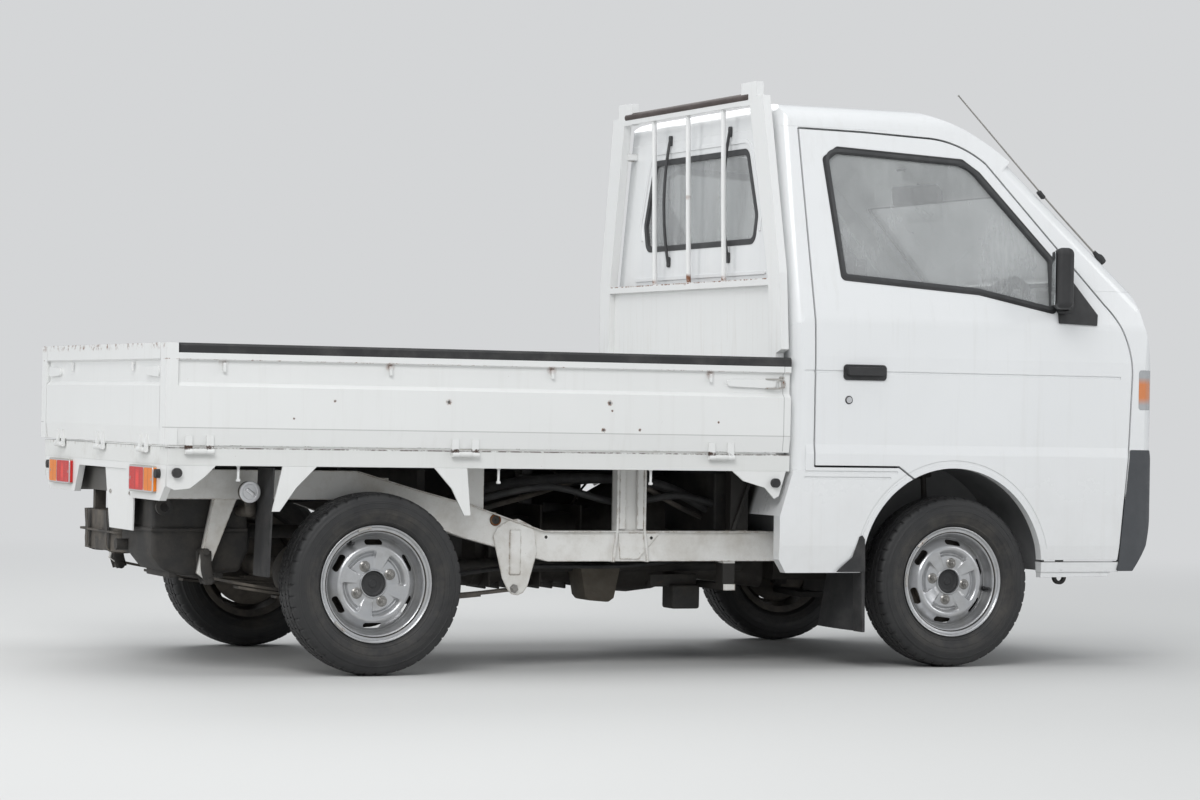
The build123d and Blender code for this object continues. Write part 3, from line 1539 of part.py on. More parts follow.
# Cab floor: stepped sheet from the rear bulkhead over the seats and down to the footwell, wheelhouses
floor_sheet = 18.0
wheelhouse_radius = 335.0
wheelhouse_inner_y = 369.0
seat_deck_z = 640.0
footwell_z = 430.0
riser_x = front_axle_x + 250
firewall_x = nose_x - 110
floor_half = half_width - cab_wall - 12
with BuildPart() as cab_floor:
    with BuildSketch(Plane.XZ):
        with BuildLine():
            Polyline(
                (cab_rear_x + 46, rail_top_z + seat_gap),
                (cab_rear_x + 46, seat_deck_z + floor_sheet),
                (riser_x + floor_sheet, seat_deck_z + floor_sheet),
                (riser_x + floor_sheet, footwell_z + floor_sheet),
                (firewall_x - 100, footwell_z + floor_sheet),
                (firewall_x - floor_sheet, 620),
                (firewall_x - floor_sheet - 20, 1040),
                (firewall_x - 20, 1040),
                (firewall_x, 620),
                (firewall_x - 85, footwell_z),
                (riser_x, footwell_z),
                (riser_x, seat_deck_z),
                (cab_rear_x + 46 + floor_sheet, seat_deck_z),
                (cab_rear_x + 46 + floor_sheet, rail_top_z + seat_gap),
                close=True,
            )
        make_face()
    extrude(amount=floor_half, both=True)
    for side in (-1, 1):
        with BuildSketch(Plane.XZ.offset(-side * wheelhouse_inner_y)):
            with Locations((front_axle_x - 15, arch_center_z)):
                Circle(wheelhouse_radius)
        extrude(amount=-side * 400, mode=Mode.SUBTRACT)
        with BuildSketch(Plane.XZ.offset(-side * (wheelhouse_inner_y - 5))):
            with Locations((front_axle_x - 15, arch_center_z)):
                Circle(wheelhouse_radius + 9)
                Rectangle(1000, 1000, align=(Align.CENTER, Align.MAX), mode=Mode.SUBTRACT)
        extrude(amount=-side * (floor_half - wheelhouse_inner_y + 5))
        with BuildSketch(Plane.XZ.offset(-side * wheelhouse_inner_y)):
            with Locations((front_axle_x - 15, arch_center_z)):
                Circle(wheelhouse_radius)
        extrude(amount=-side * 400, mode=Mode.SUBTRACT)
    for side in (-1, 1):
        with BuildSketch(kingpin_plane(side).offset(kingpin_length + running_gap)):
            Circle(30)
        extrude(amount=44)
keep(cab_floor, "cab_floor")

# Interior: seats, dashboard, steering wheel with its column, gear levers
with BuildPart() as seats:
    for side in (-1, 1):
        with BuildSketch(Plane.XZ.offset(-side * 330)):
            with BuildLine():
                FilletPolyline(
                    (cab_rear_x + 228, seat_deck_z + floor_sheet + seat_gap),
                    (cab_rear_x + 708, seat_deck_z + floor_sheet + seat_gap),
                    (cab_rear_x + 718, seat_deck_z + 120),
                    (cab_rear_x + 308, seat_deck_z + 110),
                    (cab_rear_x + 208, 1290),
                    (cab_rear_x + 118, 1290),
                    (cab_rear_x + 148, seat_deck_z + 110),
                    radius=25,
                    close=True,
                )
            make_face()
        extrude(amount=235, both=True)
keep(seats, "seats")

column_length = 113.0
wheel_center = (nose_x - 432.5, -330.0, 1075.0)
wheel_tilt = 32.0
steer_plane = Plane(
    origin=wheel_center,
    x_dir=(0, 1, 0),
    z_dir=(-cos(radians(wheel_tilt)), 0, sin(radians(wheel_tilt))),
)


def firewall_face(z):
    """X of the firewall's inner face at a height."""
    return firewall_x - floor_sheet - 20 * (z - 620) / 420


with BuildPart() as dashboard:
    with BuildSketch(Plane.XZ):
        with BuildLine():
            FilletPolyline(
                (nose_x - 277.5, 900),
                (nose_x - 297.5, 1010),
                (nose_x - 227.5, 1090),
                (firewall_face(1070) - 8, 1085),
                (firewall_face(1040) - seat_gap, 1040),
                (firewall_face(900) - seat_gap, 900),
                radius=8,
                close=True,
            )
        make_face()
    extrude(amount=half_width - cab_wall - 28, both=True)
    with BuildSketch(steer_plane.offset(-column_length - seat_gap)):
        Circle(30)
    extrude(amount=-60)
keep(dashboard, "dashboard")

with BuildPart() as steering_wheel:
    with BuildSketch(steer_plane.offset(-10)):
        Circle(188)
        Circle(164, mode=Mode.SUBTRACT)
    extrude(amount=20)
    with BuildSketch(steer_plane.offset(-8)):
        Rectangle(340, 34)
        with Locations((0, -85)):
            Rectangle(34, 170)
        Circle(48)
    extrude(amount=14)
    with BuildSketch(steer_plane.offset(-8)):
        Circle(24)
    extrude(amount=8 - column_length)
keep(steering_wheel, "steering_wheel")

lever_x = nose_x - 547.5
with BuildPart() as gear_levers:
    with BuildSketch(Plane.XY.offset(seat_deck_z + floor_sheet + seat_gap)):
        with Locations((lever_x, -20)):
            Circle(9)
    extrude(amount=230)
    with Locations((lever_x, -20, seat_deck_z + floor_sheet + 235)):
        Sphere(20)
keep(gear_levers, "gear_levers")

# Tow eyes: a ring on a short shank under the end of each right-hand rail
eye_outer = 24.0
eye_bore = 13.0
eye_thickness = 12.0
front_eye_z = 260.0
TOW_EYES = [
    # X, Y of the outer face, ring centre Z, underside of the rail
    (rail_front_x - 14, front_rail_outer_y - 36, front_eye_z, rail_bottom_z),
    (tail_x + 75, rail_outer_y - 36, 505 - eye_outer - seat_gap, 505),
]
with BuildPart() as tow_eyes:
    for eye_x, eye_y, eye_z, rail_z in TOW_EYES:
        with BuildSketch(Plane.XZ.offset(eye_y)):
            with Locations((eye_x, eye_z)):
                Circle(eye_outer)
                Rectangle(eye_outer, rail_z - seat_gap - eye_z, align=(Align.CENTER, Align.MIN))
                Circle(eye_bore, mode=Mode.SUBTRACT)
        extrude(amount=eye_thickness)
keep(tow_eyes, "tow_eyes")

# Mud flaps behind the wheels
with BuildPart() as mud_flaps:
    for side in (-1, 1):
        for flap_x, top_z, low_z in (
            (front_axle_x - 345, cab_bottom_z - seat_gap, 125),
            (rear_axle_x - 320, sill_bottom_z - seat_gap, 300),
        ):
            with BuildSketch(Plane.YZ.offset(flap_x)):
                with Locations((side * wheel_y, (top_z + low_z) / 2)):
                    Rectangle(150, top_z - low_z)
            extrude(amount=-6)
keep(mud_flaps, "mud_flaps")
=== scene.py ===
import json
from functools import reduce
from math import acos, copysign, cos, exp, hypot, pi, radians, sin, sqrt, tan

import bmesh
import bpy
from mathutils import Matrix, Vector

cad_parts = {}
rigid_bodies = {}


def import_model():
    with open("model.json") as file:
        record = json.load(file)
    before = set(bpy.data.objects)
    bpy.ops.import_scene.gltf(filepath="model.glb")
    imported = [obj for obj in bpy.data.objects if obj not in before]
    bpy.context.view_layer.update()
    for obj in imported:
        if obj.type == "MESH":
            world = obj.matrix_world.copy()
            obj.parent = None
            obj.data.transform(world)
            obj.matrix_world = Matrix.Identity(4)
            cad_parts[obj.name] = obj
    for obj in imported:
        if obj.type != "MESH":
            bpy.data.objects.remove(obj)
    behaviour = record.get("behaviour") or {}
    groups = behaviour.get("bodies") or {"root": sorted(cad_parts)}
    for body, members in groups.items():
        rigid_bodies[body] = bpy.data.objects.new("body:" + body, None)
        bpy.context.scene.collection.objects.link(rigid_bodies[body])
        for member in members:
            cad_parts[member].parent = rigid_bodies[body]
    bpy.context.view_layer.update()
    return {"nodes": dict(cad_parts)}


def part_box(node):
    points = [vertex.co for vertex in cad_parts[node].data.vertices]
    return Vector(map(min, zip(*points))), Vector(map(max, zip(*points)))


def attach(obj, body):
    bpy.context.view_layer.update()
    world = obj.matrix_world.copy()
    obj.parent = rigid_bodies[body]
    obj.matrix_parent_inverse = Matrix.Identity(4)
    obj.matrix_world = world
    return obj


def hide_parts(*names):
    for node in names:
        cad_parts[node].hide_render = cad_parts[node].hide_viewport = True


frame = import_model()

# Sizes in metres, in the frame's own axes: X forward, Y to the left, Z up
TYRE_RADIUS = 0.266
REAR_AXLE_X = -0.9855
FRONT_AXLE_X = 0.9195
SIDES = (("right", -1), ("left", 1))
WHEELS = [(f"{end}_{side_name}", side) for end in ("rear", "front") for side_name, side in SIDES]


# Materials

def colour(rgb):
    """A tone with its alpha."""
    return (rgb[0], rgb[1], rgb[2], 1.0)


class Finish:
    """One node material, built by short calls that return sockets."""

    def __init__(self, name, roughness=0.5, metallic=0.0):
        self.material = bpy.data.materials.new(name)
        self.material.use_nodes = True
        self.tree = self.material.node_tree
        self.tree.nodes.clear()
        self.shader = self.node("ShaderNodeBsdfPrincipled", {"Roughness": roughness, "Metallic": metallic})
        self.output = self.node("ShaderNodeOutputMaterial", {"Surface": self.shader.outputs[0]})
        self.place = self.node("ShaderNodeTexCoord").outputs["Object"]
        self.relief = None

    def node(self, kind, inputs=None, **settings):
        """Add a node, with its settings made before its inputs are set or linked."""
        made = self.tree.nodes.new(kind)
        for name, value in settings.items():
            setattr(made, name, value)
        for key, value in (inputs or {}).items():
            self.feed(made.inputs[key], value)
        return made

    def feed(self, socket, value):
        """Link a socket, or set its plain value."""
        if isinstance(value, bpy.types.NodeSocket):
            self.tree.links.new(value, socket)
        else:
            socket.default_value = colour(value) if socket.type == "RGBA" else value

    def math(self, operation, a, b=0.5):
        return self.node("ShaderNodeMath", {0: a, 1: b}, operation=operation).outputs[0]

    def measure(self, operation, a, b=(0, 0, 0)):
        """A number from two vectors, such as their distance."""
        return self.node("ShaderNodeVectorMath", {0: a, 1: b}, operation=operation).outputs["Value"]

    def most(self, *values):
        """The greatest of the masks."""
        return reduce(lambda a, b: self.math("MAXIMUM", a, b), values)

    def both(self, *values):
        """Product of masks and strengths."""
        return reduce(lambda a, b: self.math("MULTIPLY", a, b), values)

    def noise(self, scale, detail=4.0, roughness=0.55, stretch=None, distortion=0.0):
        """A cloudy pattern, stretched along the axes where a stretch is given."""
        place = self.place
        if stretch:
            place = self.node("ShaderNodeMapping", {"Vector": place, "Scale": stretch}).outputs[0]
        inputs = {"Scale": scale, "Detail": detail, "Roughness": roughness, "Distortion": distortion}
        return self.node("ShaderNodeTexNoise", {"Vector": place, **inputs}).outputs["Fac"]

    def specks(self, low, high, *scale_and_detail, **options):
        """Noise mapped so that low gives 0 and high gives 1."""
        return self.band(self.noise(*scale_and_detail, **options), low, high)

    def cells(self, scale):
        """Distance to the nearest of scattered points, a leather grain."""
        return self.node("ShaderNodeTexVoronoi", {"Vector": self.place, "Scale": scale}).outputs["Distance"]

    def ribs(self, scale, direction):
        """Even ribs across one direction."""
        return self.node("ShaderNodeTexWave", {"Vector": self.place, "Scale": scale},
                         bands_direction=direction).outputs["Fac"]

    def rings(self, distance, scale):
        """Fine tone lines that follow a distance."""
        place = self.node("ShaderNodeCombineXYZ", {0: distance}).outputs[0]
        return self.node("ShaderNodeTexNoise", {"Vector": place, "Scale": scale, "Detail": 3}).outputs["Fac"]

    def band(self, value, low, high, to_low=0.0, to_high=1.0, curve="LINEAR"):
        """Map a value from one range to another, held at both ends."""
        return self.node("ShaderNodeMapRange", {
            "Value": value, "From Min": low, "From Max": high, "To Min": to_low, "To Max": to_high,
        }, interpolation_type=curve).outputs["Result"]

    def axis(self, index):
        """One coordinate of the place: 0 for X, 1 for Y, 2 for Z."""
        return self.node("ShaderNodeSeparateXYZ", {0: self.place}).outputs[index]

    def side(self):
        """Distance from the truck's middle plane."""
        return self.math("ABSOLUTE", self.axis(1))

    def near(self, value, center, width, soft):
        """1 within width of a centre value, falling to 0 over soft."""
        distance = self.math("ABSOLUTE", self.math("SUBTRACT", value, center))
        return self.band(distance, width, width + soft, 1.0, 0.0)

    def spot(self, center, radius, soft):
        """1 within a radius of a point, falling to 0 over soft."""
        return self.band(self.measure("DISTANCE", self.place, center), radius, radius + soft, 1.0, 0.0)

    def around(self, center_x, center_z):
        """Distance from a wheel's axis."""
        flat = self.node("ShaderNodeVectorMath", {0: self.place, 1: (1, 0, 1)}, operation="MULTIPLY")
        return self.measure("DISTANCE", flat.outputs[0], (center_x, 0, center_z))

    def mix(self, factor, a, b):
        """One colour to another by a factor."""
        mixed = self.node("ShaderNodeMix", {"Factor": factor, "A": a, "B": b}, data_type="RGBA")
        return mixed.outputs["Result"]

    def blend(self, factor, a, b):
        """One shader to another by a factor."""
        return self.node("ShaderNodeMixShader", {0: factor, 1: a.outputs[0], 2: b.outputs[0]})

    def softened(self, radius):
        """The surface's direction, with sharp edges rounded off."""
        return self.node("ShaderNodeBevel", {"Radius": radius}, samples=4).outputs[0]

    def edge_wear(self, radius):
        """1 where the surface bends within a radius, as at worn edges."""
        plain = self.node("ShaderNodeNewGeometry").outputs["Normal"]
        return self.band(self.measure("DOT_PRODUCT", self.softened(radius), plain), 0.98, 0.8)

    def face(self, normal):
        """Let the shading follow a direction, and keep it for the bumps on top."""
        self.relief = normal
        self.feed(self.shader.inputs["Normal"], normal)

    def rounded(self, radius):
        """Soften this material's sharp edges in the shading."""
        self.face(self.softened(radius))

    def bump(self, height, distance, strength=1.0):
        """Raise the shading by a pattern, over what came before."""
        inputs = {"Strength": strength, "Distance": distance, "Height": height}
        if self.relief is not None:
            inputs["Normal"] = self.relief
        self.face(self.node("ShaderNodeBump", inputs).outputs[0])

    def base(self, value):
        self.feed(self.shader.inputs["Base Color"], value)

    def over(self, factor, tint):
        """Lay a colour over the base colour so far."""
        below = self.shader.inputs["Base Color"].links[0].from_socket
        self.base(self.mix(factor, below, tint))

    def rough(self, value):
        self.feed(self.shader.inputs["Roughness"], value)

    def coat(self, weight, roughness=0.08):
        self.shader.inputs["Coat Weight"].default_value = weight
        self.shader.inputs["Coat Roughness"].default_value = roughness


RUST = (0.19, 0.072, 0.028)
RUST_DARK = (0.05, 0.024, 0.015)
ROAD_DIRT = (0.34, 0.3, 0.25)
# Dark tone for real seams, also used as painted shade in the gate's crease and the nose's step.
SEAM_AND_SHADE_LINE = (0.045, 0.04, 0.036)

TAIL_LAMP_Z = 0.562
GATE_HINGE_Z = 0.656
GATE_FACE_Y = 0.697


def painted(name, paint, roughness, coat, low_dirt, rust, dirt_from=0.3, dirt_to=0.75):
    """Sheet steel paint with tone variation, rain streaks, road film low down and small rust chips."""
    finish = Finish(name, roughness)
    finish.rounded(0.0025)
    tone = finish.noise(1.7, 3)
    body = finish.mix(finish.band(tone, 0.3, 0.7), tuple(0.965 * c for c in paint), paint)
    streaks = finish.noise(1.0, 6, 0.65, stretch=(34, 34, 1.6))
    body = finish.mix(finish.both(finish.band(streaks, 0.54, 0.8), 0.16), body, (0.5, 0.48, 0.44))
    film = finish.both(finish.band(finish.axis(2), dirt_to, dirt_from), low_dirt)
    film = finish.both(film, finish.band(finish.noise(9, 6, 0.7), 0.35, 0.75, 0.35, 1.0))
    body = finish.mix(film, body, ROAD_DIRT)
    specks = finish.specks(0.735 - 0.05 * rust, 0.76 - 0.05 * rust, 58, 5, 0.75, distortion=0.6)
    body = finish.mix(finish.both(specks, min(1.0, rust)), body, RUST)
    finish.base(body)
    finish.rough(finish.band(finish.math("ADD", film, specks), 0.0, 1.0, roughness, 0.85))
    finish.bump(finish.noise(420, 2), 0.00012, 0.5)
    if coat:
        finish.coat(coat)
    return finish


def cab_paint():
    """Glossy cab white: rust on the sill's low edge, painted shade in the step of the nose and on the body's
    inner faces low down.
    """
    finish = painted("cab_paint", (0.8, 0.81, 0.815), 0.25, 0.6, 0.16, 0.15)
    height, ahead = finish.axis(2), finish.axis(0)
    low_edge = finish.both(finish.band(height, 0.314, 0.3), finish.band(ahead, 1.19, 1.22))
    finish.over(finish.both(low_edge, finish.specks(0.62, 0.72, 30, 6, 0.8), 0.7), RUST_DARK)
    # Painted shade: a thin dark line where the nose steps.
    nose_step_shade = finish.both(finish.near(height, 0.331, 0.0015, 0.003), finish.band(ahead, 1.19, 1.22), 0.7)
    finish.over(nose_step_shade, SEAM_AND_SHADE_LINE)
    # Painted shade: the body's inner faces near the middle and low down are darkened.
    inside = finish.band(finish.side(), 0.5, 0.47)
    tunnel_shade = finish.both(inside, finish.band(height, 0.62, 0.55))
    finish.over(finish.both(tunnel_shade, finish.band(ahead, 1.45, 1.4)), (0.1, 0.095, 0.09))
    return finish.material


HOOK_PLACES = (-1.468, -0.969, -0.462, 0.053)
GATE_CHIPS = [
    # X, Z, radius
    (-0.789, 0.797, 0.0085), (-0.278, 0.803, 0.008), (-0.297, 0.722, 0.007), (-0.27, 0.78, 0.0035),
    (-1.138, 0.794, 0.004), (-0.179, 0.724, 0.0045), (-1.26, 0.742, 0.0035), (0.08, 0.751, 0.0035),
]


def gate_paint():
    """Chalky bed white: ragged rust along the hinge seam and the rail, chips on the face, rust at hooks."""
    finish = painted("gate_paint", (0.775, 0.78, 0.77), 0.38, 0.25, 0.16, 0.5)
    height, ahead, side = finish.axis(2), finish.axis(0), finish.side()
    ragged = finish.noise(34, 6, 0.8)
    outer = finish.band(side, 0.66, 0.67)
    seam = finish.near(height, GATE_HINGE_Z, 0.0035, 0.014)
    finish.over(finish.both(outer, finish.band(finish.both(seam, ragged), 0.42, 0.52)), RUST_DARK)
    rail = finish.both(finish.near(height, 0.905, 0.001, 0.006), 0.75)
    finish.over(finish.both(outer, finish.band(finish.both(rail, ragged), 0.4, 0.5)), RUST)
    # Painted shade: a thin dark line along the gate's pressed crease.
    gate_crease_shade = finish.both(finish.near(height, 0.712, 0.0004, 0.0016), outer, 0.42)
    finish.over(gate_crease_shade, SEAM_AND_SHADE_LINE)
    joint = finish.near(ahead, 0.299, 0.0004, 0.0014)
    finish.over(finish.both(joint, finish.band(height, 0.662, 0.668), outer, 0.5), SEAM_AND_SHADE_LINE)
    right = finish.band(finish.axis(1), -0.6, -0.65)
    torn = finish.specks(0.4, 0.52, 150, 4, 0.8)
    for x, z, radius in GATE_CHIPS:
        chip = finish.both(finish.spot((x, -GATE_FACE_Y, z), radius * 0.75, radius * 0.5), right)
        finish.over(finish.both(chip, torn), RUST)
        dent = finish.both(finish.spot((x, -GATE_FACE_Y, z), radius * 0.35, radius * 0.45), right)
        finish.over(dent, (0.085, 0.08, 0.075))
    for x in HOOK_PLACES:
        smear = finish.most(*[finish.spot((x, y, 0.897), 0.004, 0.014) for y in (-0.6865, 0.6865)])
        finish.over(finish.both(smear, finish.band(ragged, 0.4, 0.6), 0.8), RUST)
    tail = finish.both(finish.band(ahead, -1.6, -1.61), finish.band(height, 0.93, 0.94))
    finish.over(finish.both(tail, finish.specks(0.52, 0.62, 22, 6, 0.8)), RUST)
    return finish.material


def deck_paint():
    """Bed floor: scratched and stained on top, darkened below by painted shade."""
    finish = painted("deck_paint", (0.72, 0.725, 0.71), 0.5, 0.0, 0.1, 0.8)
    height, side = finish.axis(2), finish.side()
    inner = finish.band(side, 0.655, 0.645)
    scratch = finish.specks(0.56, 0.66, 1.0, 6, 0.7, stretch=(3, 70, 1))
    worn = finish.both(inner, finish.band(height, 0.645, 0.65), scratch, 0.7)
    finish.over(worn, (0.33, 0.28, 0.23))
    patch = finish.both(inner, finish.specks(0.5, 0.8, 7, 8, 0.8), 0.5)
    finish.over(patch, ROAD_DIRT)
    # Painted shade: the deck's underside, away from its rear face, is darkened near black.
    inward = finish.band(finish.axis(0), -1.56, -1.55)
    under = finish.both(inner, inward, finish.band(height, 0.6485, 0.647))
    finish.over(under, (0.035, 0.031, 0.027))
    seam = finish.both(finish.near(height, GATE_HINGE_Z, 0.001, 0.004), finish.band(side, 0.66, 0.67))
    finish.over(finish.both(seam, finish.specks(0.42, 0.55, 30, 6, 0.8)), RUST_DARK)
    return finish.material


GUARD_RUST = [
    # X, Y, Z, radius
    (0.293, 0.0, 1.205, 0.012), (0.293, -0.262, 1.2, 0.004), (0.293, 0.262, 1.203, 0.003),
    (0.29, 0.0, 1.47, 0.002),
]


def guard_paint():
    """Guard frame white, rusted at the feet of the bars and along the top of the low panel."""
    finish = painted("guard_paint", (0.775, 0.78, 0.775), 0.34, 0.25, 0.1, 0.5)
    ragged = finish.noise(48, 6, 0.8)
    for x, y, z, radius in GUARD_RUST:
        finish.over(finish.both(finish.spot((x, y, z), radius, 0.01), finish.band(ragged, 0.38, 0.5)), RUST)
    ledge = finish.near(finish.axis(2), 1.194, 0.002, 0.006)
    worn = finish.both(finish.both(ledge, finish.band(finish.side(), 0.6, 0.59)), ragged)
    finish.over(finish.band(worn, 0.46, 0.56), RUST)
    streak = finish.noise(1.0, 6, 0.7, stretch=(60, 60, 2.5))
    low = finish.both(finish.band(finish.axis(2), 1.18, 1.0), finish.band(streak, 0.55, 0.75), 0.3)
    finish.over(low, (0.42, 0.36, 0.3))
    return finish.material


def chassis_paint():
    """White chassis paint, brown with road dirt at its edges, and painted shade near black between the rails,
    low down and on the front post.
    """
    finish = Finish("chassis_paint", 0.55)
    finish.rounded(0.002)
    clean = finish.mix(finish.noise(6, 5), (0.7, 0.69, 0.66), (0.79, 0.785, 0.765))
    patch = finish.specks(0.46, 0.74, 4.5, 7, 0.7)
    body = finish.mix(finish.both(patch, 0.62), clean, (0.36, 0.315, 0.25))
    splash = finish.specks(0.62, 0.74, 70, 5, 0.8)
    body = finish.mix(finish.both(splash, 0.5), body, (0.17, 0.14, 0.11))
    finish.base(body)
    finish.over(finish.both(finish.edge_wear(0.008), finish.specks(0.42, 0.6, 40, 5), 0.8),
                (0.22, 0.15, 0.09))
    # Painted shade: the frame's inner parts between the rails are darkened nearly black.
    inner = finish.band(finish.side(), 0.475, 0.455)
    finish.over(finish.both(inner, 0.9), (0.03, 0.027, 0.023))
    lengthwise, height = finish.axis(0), finish.axis(2)
    # Painted shade: the frame's lowest parts and the front post are painted near black to sink into the
    # shade.
    low = finish.both(finish.band(height, 0.319, 0.316), finish.band(finish.side(), 0.4995, 0.499),
                      finish.band(lengthwise, -0.3, -0.29))
    post = finish.both(finish.near(lengthwise, 0.235, 0.055, 0.002), finish.band(height, 0.4165, 0.419))
    finish.over(finish.most(low, post), (0.02, 0.018, 0.016))
    finish.bump(finish.noise(160, 4), 0.0006, 0.5)
    return finish.material


def under_steel(name="under_steel", tint=(0.02, 0.019, 0.018), dust=(0.1, 0.086, 0.07), amount=0.5):
    """Black chassis coating with dried mud and dust."""
    finish = Finish(name, 0.7)
    finish.rounded(0.002)
    patch = finish.specks(0.42, 0.78, 7, 7, 0.7)
    body = finish.mix(finish.both(patch, amount), tint, dust)
    spots = finish.specks(0.63, 0.72, 46, 6, 0.75)
    finish.base(finish.mix(finish.both(spots, 0.4), body, RUST))
    finish.bump(finish.noise(120, 5), 0.0012, 0.6)
    return finish.material


def wheel_silver():
    """Silver wheel paint with dust, and painted shade on the parts set further in; the drum and the barrel's
    inside are dark and rusty.
    """
    finish = Finish("wheel_silver", 0.3, 0.72)
    finish.rounded(0.001)
    tone = finish.mix(finish.noise(8, 4), (0.44, 0.445, 0.455), (0.57, 0.575, 0.585))
    dust = finish.both(finish.specks(0.45, 0.75, 14, 6, 0.7), 0.45)
    body = finish.mix(dust, tone, (0.24, 0.225, 0.2))
    finish.base(finish.mix(finish.specks(0.7, 0.75, 60, 5, 0.8), body, RUST))
    # Painted shade: the wheel's parts further in from its outer face are darkened.
    hollow_shade = finish.both(finish.band(finish.side(), 0.6185, 0.608), 0.35)
    finish.over(hollow_shade, (0.1, 0.095, 0.085))
    finish.rough(finish.band(dust, 0.0, 0.45, 0.3, 0.6))
    finish.bump(finish.noise(300, 3), 0.0002, 0.4)
    return finish.material


def tyre_rubber(name, center_x):
    """Tyre rubber with a grey bloom, faint rings on the sidewall and brown dust near the rim."""
    finish = Finish(name, 0.78)
    away = finish.around(center_x, TYRE_RADIUS)
    smear = finish.noise(5.5, 7, 0.72, distortion=1.2)
    body = finish.mix(finish.band(smear, 0.4, 0.78), (0.013, 0.013, 0.014), (0.036, 0.036, 0.036))
    rings = finish.band(finish.rings(away, 330), 0.48, 0.68)
    finish.base(finish.mix(finish.both(rings, 0.3), body, (0.06, 0.058, 0.055)))
    brown = finish.both(finish.near(away, 0.196, 0.01, 0.022), finish.specks(0.42, 0.7, 11, 6, 0.75))
    finish.over(finish.both(brown, 0.4), (0.105, 0.092, 0.075))
    scuff = finish.both(finish.specks(0.6, 0.76, 44, 5, 0.8), finish.band(away, 0.236, 0.25), 0.5)
    finish.over(finish.both(scuff, 0.6), (0.12, 0.112, 0.1))
    finish.rough(finish.band(smear, 0.3, 0.7, 0.48, 0.74))
    finish.bump(finish.noise(240, 4), 0.0004, 0.5)
    return finish.material


def rubber(name="rubber", tone=(0.02, 0.02, 0.021), bloomed=(0.11, 0.105, 0.1)):
    """Dark rubber with a grey bloom."""
    finish = Finish(name, 0.6)
    finish.rounded(0.002)
    bloom = finish.specks(0.45, 0.8, 12, 6, 0.7)
    finish.base(finish.mix(finish.both(bloom, 0.45), tone, bloomed))
    finish.bump(finish.noise(200, 3), 0.0003, 0.4)
    return finish.material


def grained_plastic(name, tone, faded, grain=0.0004):
    """Moulded plastic with a leather grain, faded towards grey."""
    finish = Finish(name, 0.55)
    finish.rounded(0.003)
    fade = finish.specks(0.35, 0.7, 3.5, 5, 0.6)
    finish.base(finish.mix(finish.both(fade, 0.6), tone, faded))
    finish.rough(finish.band(finish.noise(30, 3), 0.3, 0.7, 0.48, 0.64))
    finish.bump(finish.cells(520), grain, 0.6)
    return finish.material


def glass():
    """Window glass with a mist of fine drops and run marks."""
    finish = Finish("misted_glass")
    finish.tree.nodes.remove(finish.shader)
    clear = finish.node("ShaderNodeBsdfTransparent", {"Color": (0.975, 0.985, 0.98)})
    gloss = finish.node("ShaderNodeBsdfGlossy", {"Roughness": 0.03})
    haze = finish.node("ShaderNodeBsdfDiffuse", {"Color": (0.93, 0.945, 0.95)})
    runs = finish.band(finish.noise(1.0, 5, 0.6, stretch=(90, 90, 3.5)), 0.4, 0.78, 0.235, 0.295)
    cloud = finish.band(finish.noise(3.2, 4), 0.35, 0.7, 0.75, 1.2)
    fog = finish.blend(finish.both(runs, cloud), clear, haze)
    fresnel = finish.node("ShaderNodeFresnel", {"IOR": 1.5}).outputs[0]
    mirror = finish.blend(finish.both(fresnel, 0.7), fog, gloss)
    finish.feed(finish.output.inputs["Surface"], mirror.outputs[0])
    return finish.material


def tail_lens():
    """Tail lamp: red with a raised middle field, amber outside, a pale rim above and below."""
    finish = Finish("rear_lens", 0.28)
    finish.rounded(0.0015)
    side, height = finish.side(), finish.axis(2)
    mottle = finish.noise(46, 3)
    red = finish.mix(mottle, (0.5, 0.012, 0.012), (0.62, 0.03, 0.026))
    amber = finish.mix(mottle, (0.72, 0.17, 0.008), (0.86, 0.26, 0.02))
    finish.base(finish.mix(finish.band(side, 0.4885, 0.4895), red, amber))
    for line in (0.4, 0.447, 0.489, 0.534):
        finish.over(finish.both(finish.near(side, line, 0.0006, 0.0012), 0.7), (0.1, 0.012, 0.01))
    bright = finish.both(finish.near(side, 0.424, 0.01, 0.01), finish.near(height, 0.56, 0.014, 0.016))
    finish.over(finish.both(bright, 0.8), (0.85, 0.05, 0.035))
    rim = finish.band(finish.math("ABSOLUTE", finish.math("SUBTRACT", height, TAIL_LAMP_Z)), 0.0335, 0.0345)
    finish.over(rim, (0.42, 0.4, 0.36))
    finish.bump(finish.ribs(95, "Y"), 0.0008, 0.5)
    finish.feed(finish.shader.inputs["Specular IOR Level"], 0.35)
    return finish.material


def clear_lens():
    """Head and corner lamps: fluted clear lens over a silver bowl, amber towards the corner."""
    finish = Finish("clear_lens", 0.12, 0.2)
    finish.rounded(0.002)
    side, height = finish.side(), finish.axis(2)
    silver = finish.mix(finish.noise(30, 4), (0.34, 0.35, 0.36), (0.52, 0.53, 0.54))
    finish.base(silver)
    bulb = finish.both(finish.band(side, 0.6, 0.615), finish.near(height, 0.872, 0.022, 0.022))
    finish.over(finish.both(bulb, 0.85), (0.78, 0.22, 0.03))
    bowl = finish.both(finish.near(side, 0.47, 0.05, 0.05), finish.near(height, 0.875, 0.02, 0.03))
    finish.over(finish.both(bowl, 0.55), (0.8, 0.81, 0.82))
    finish.bump(finish.ribs(28, "Y"), 0.0016, 0.6)
    finish.coat(0.7, 0.04)
    return finish.material


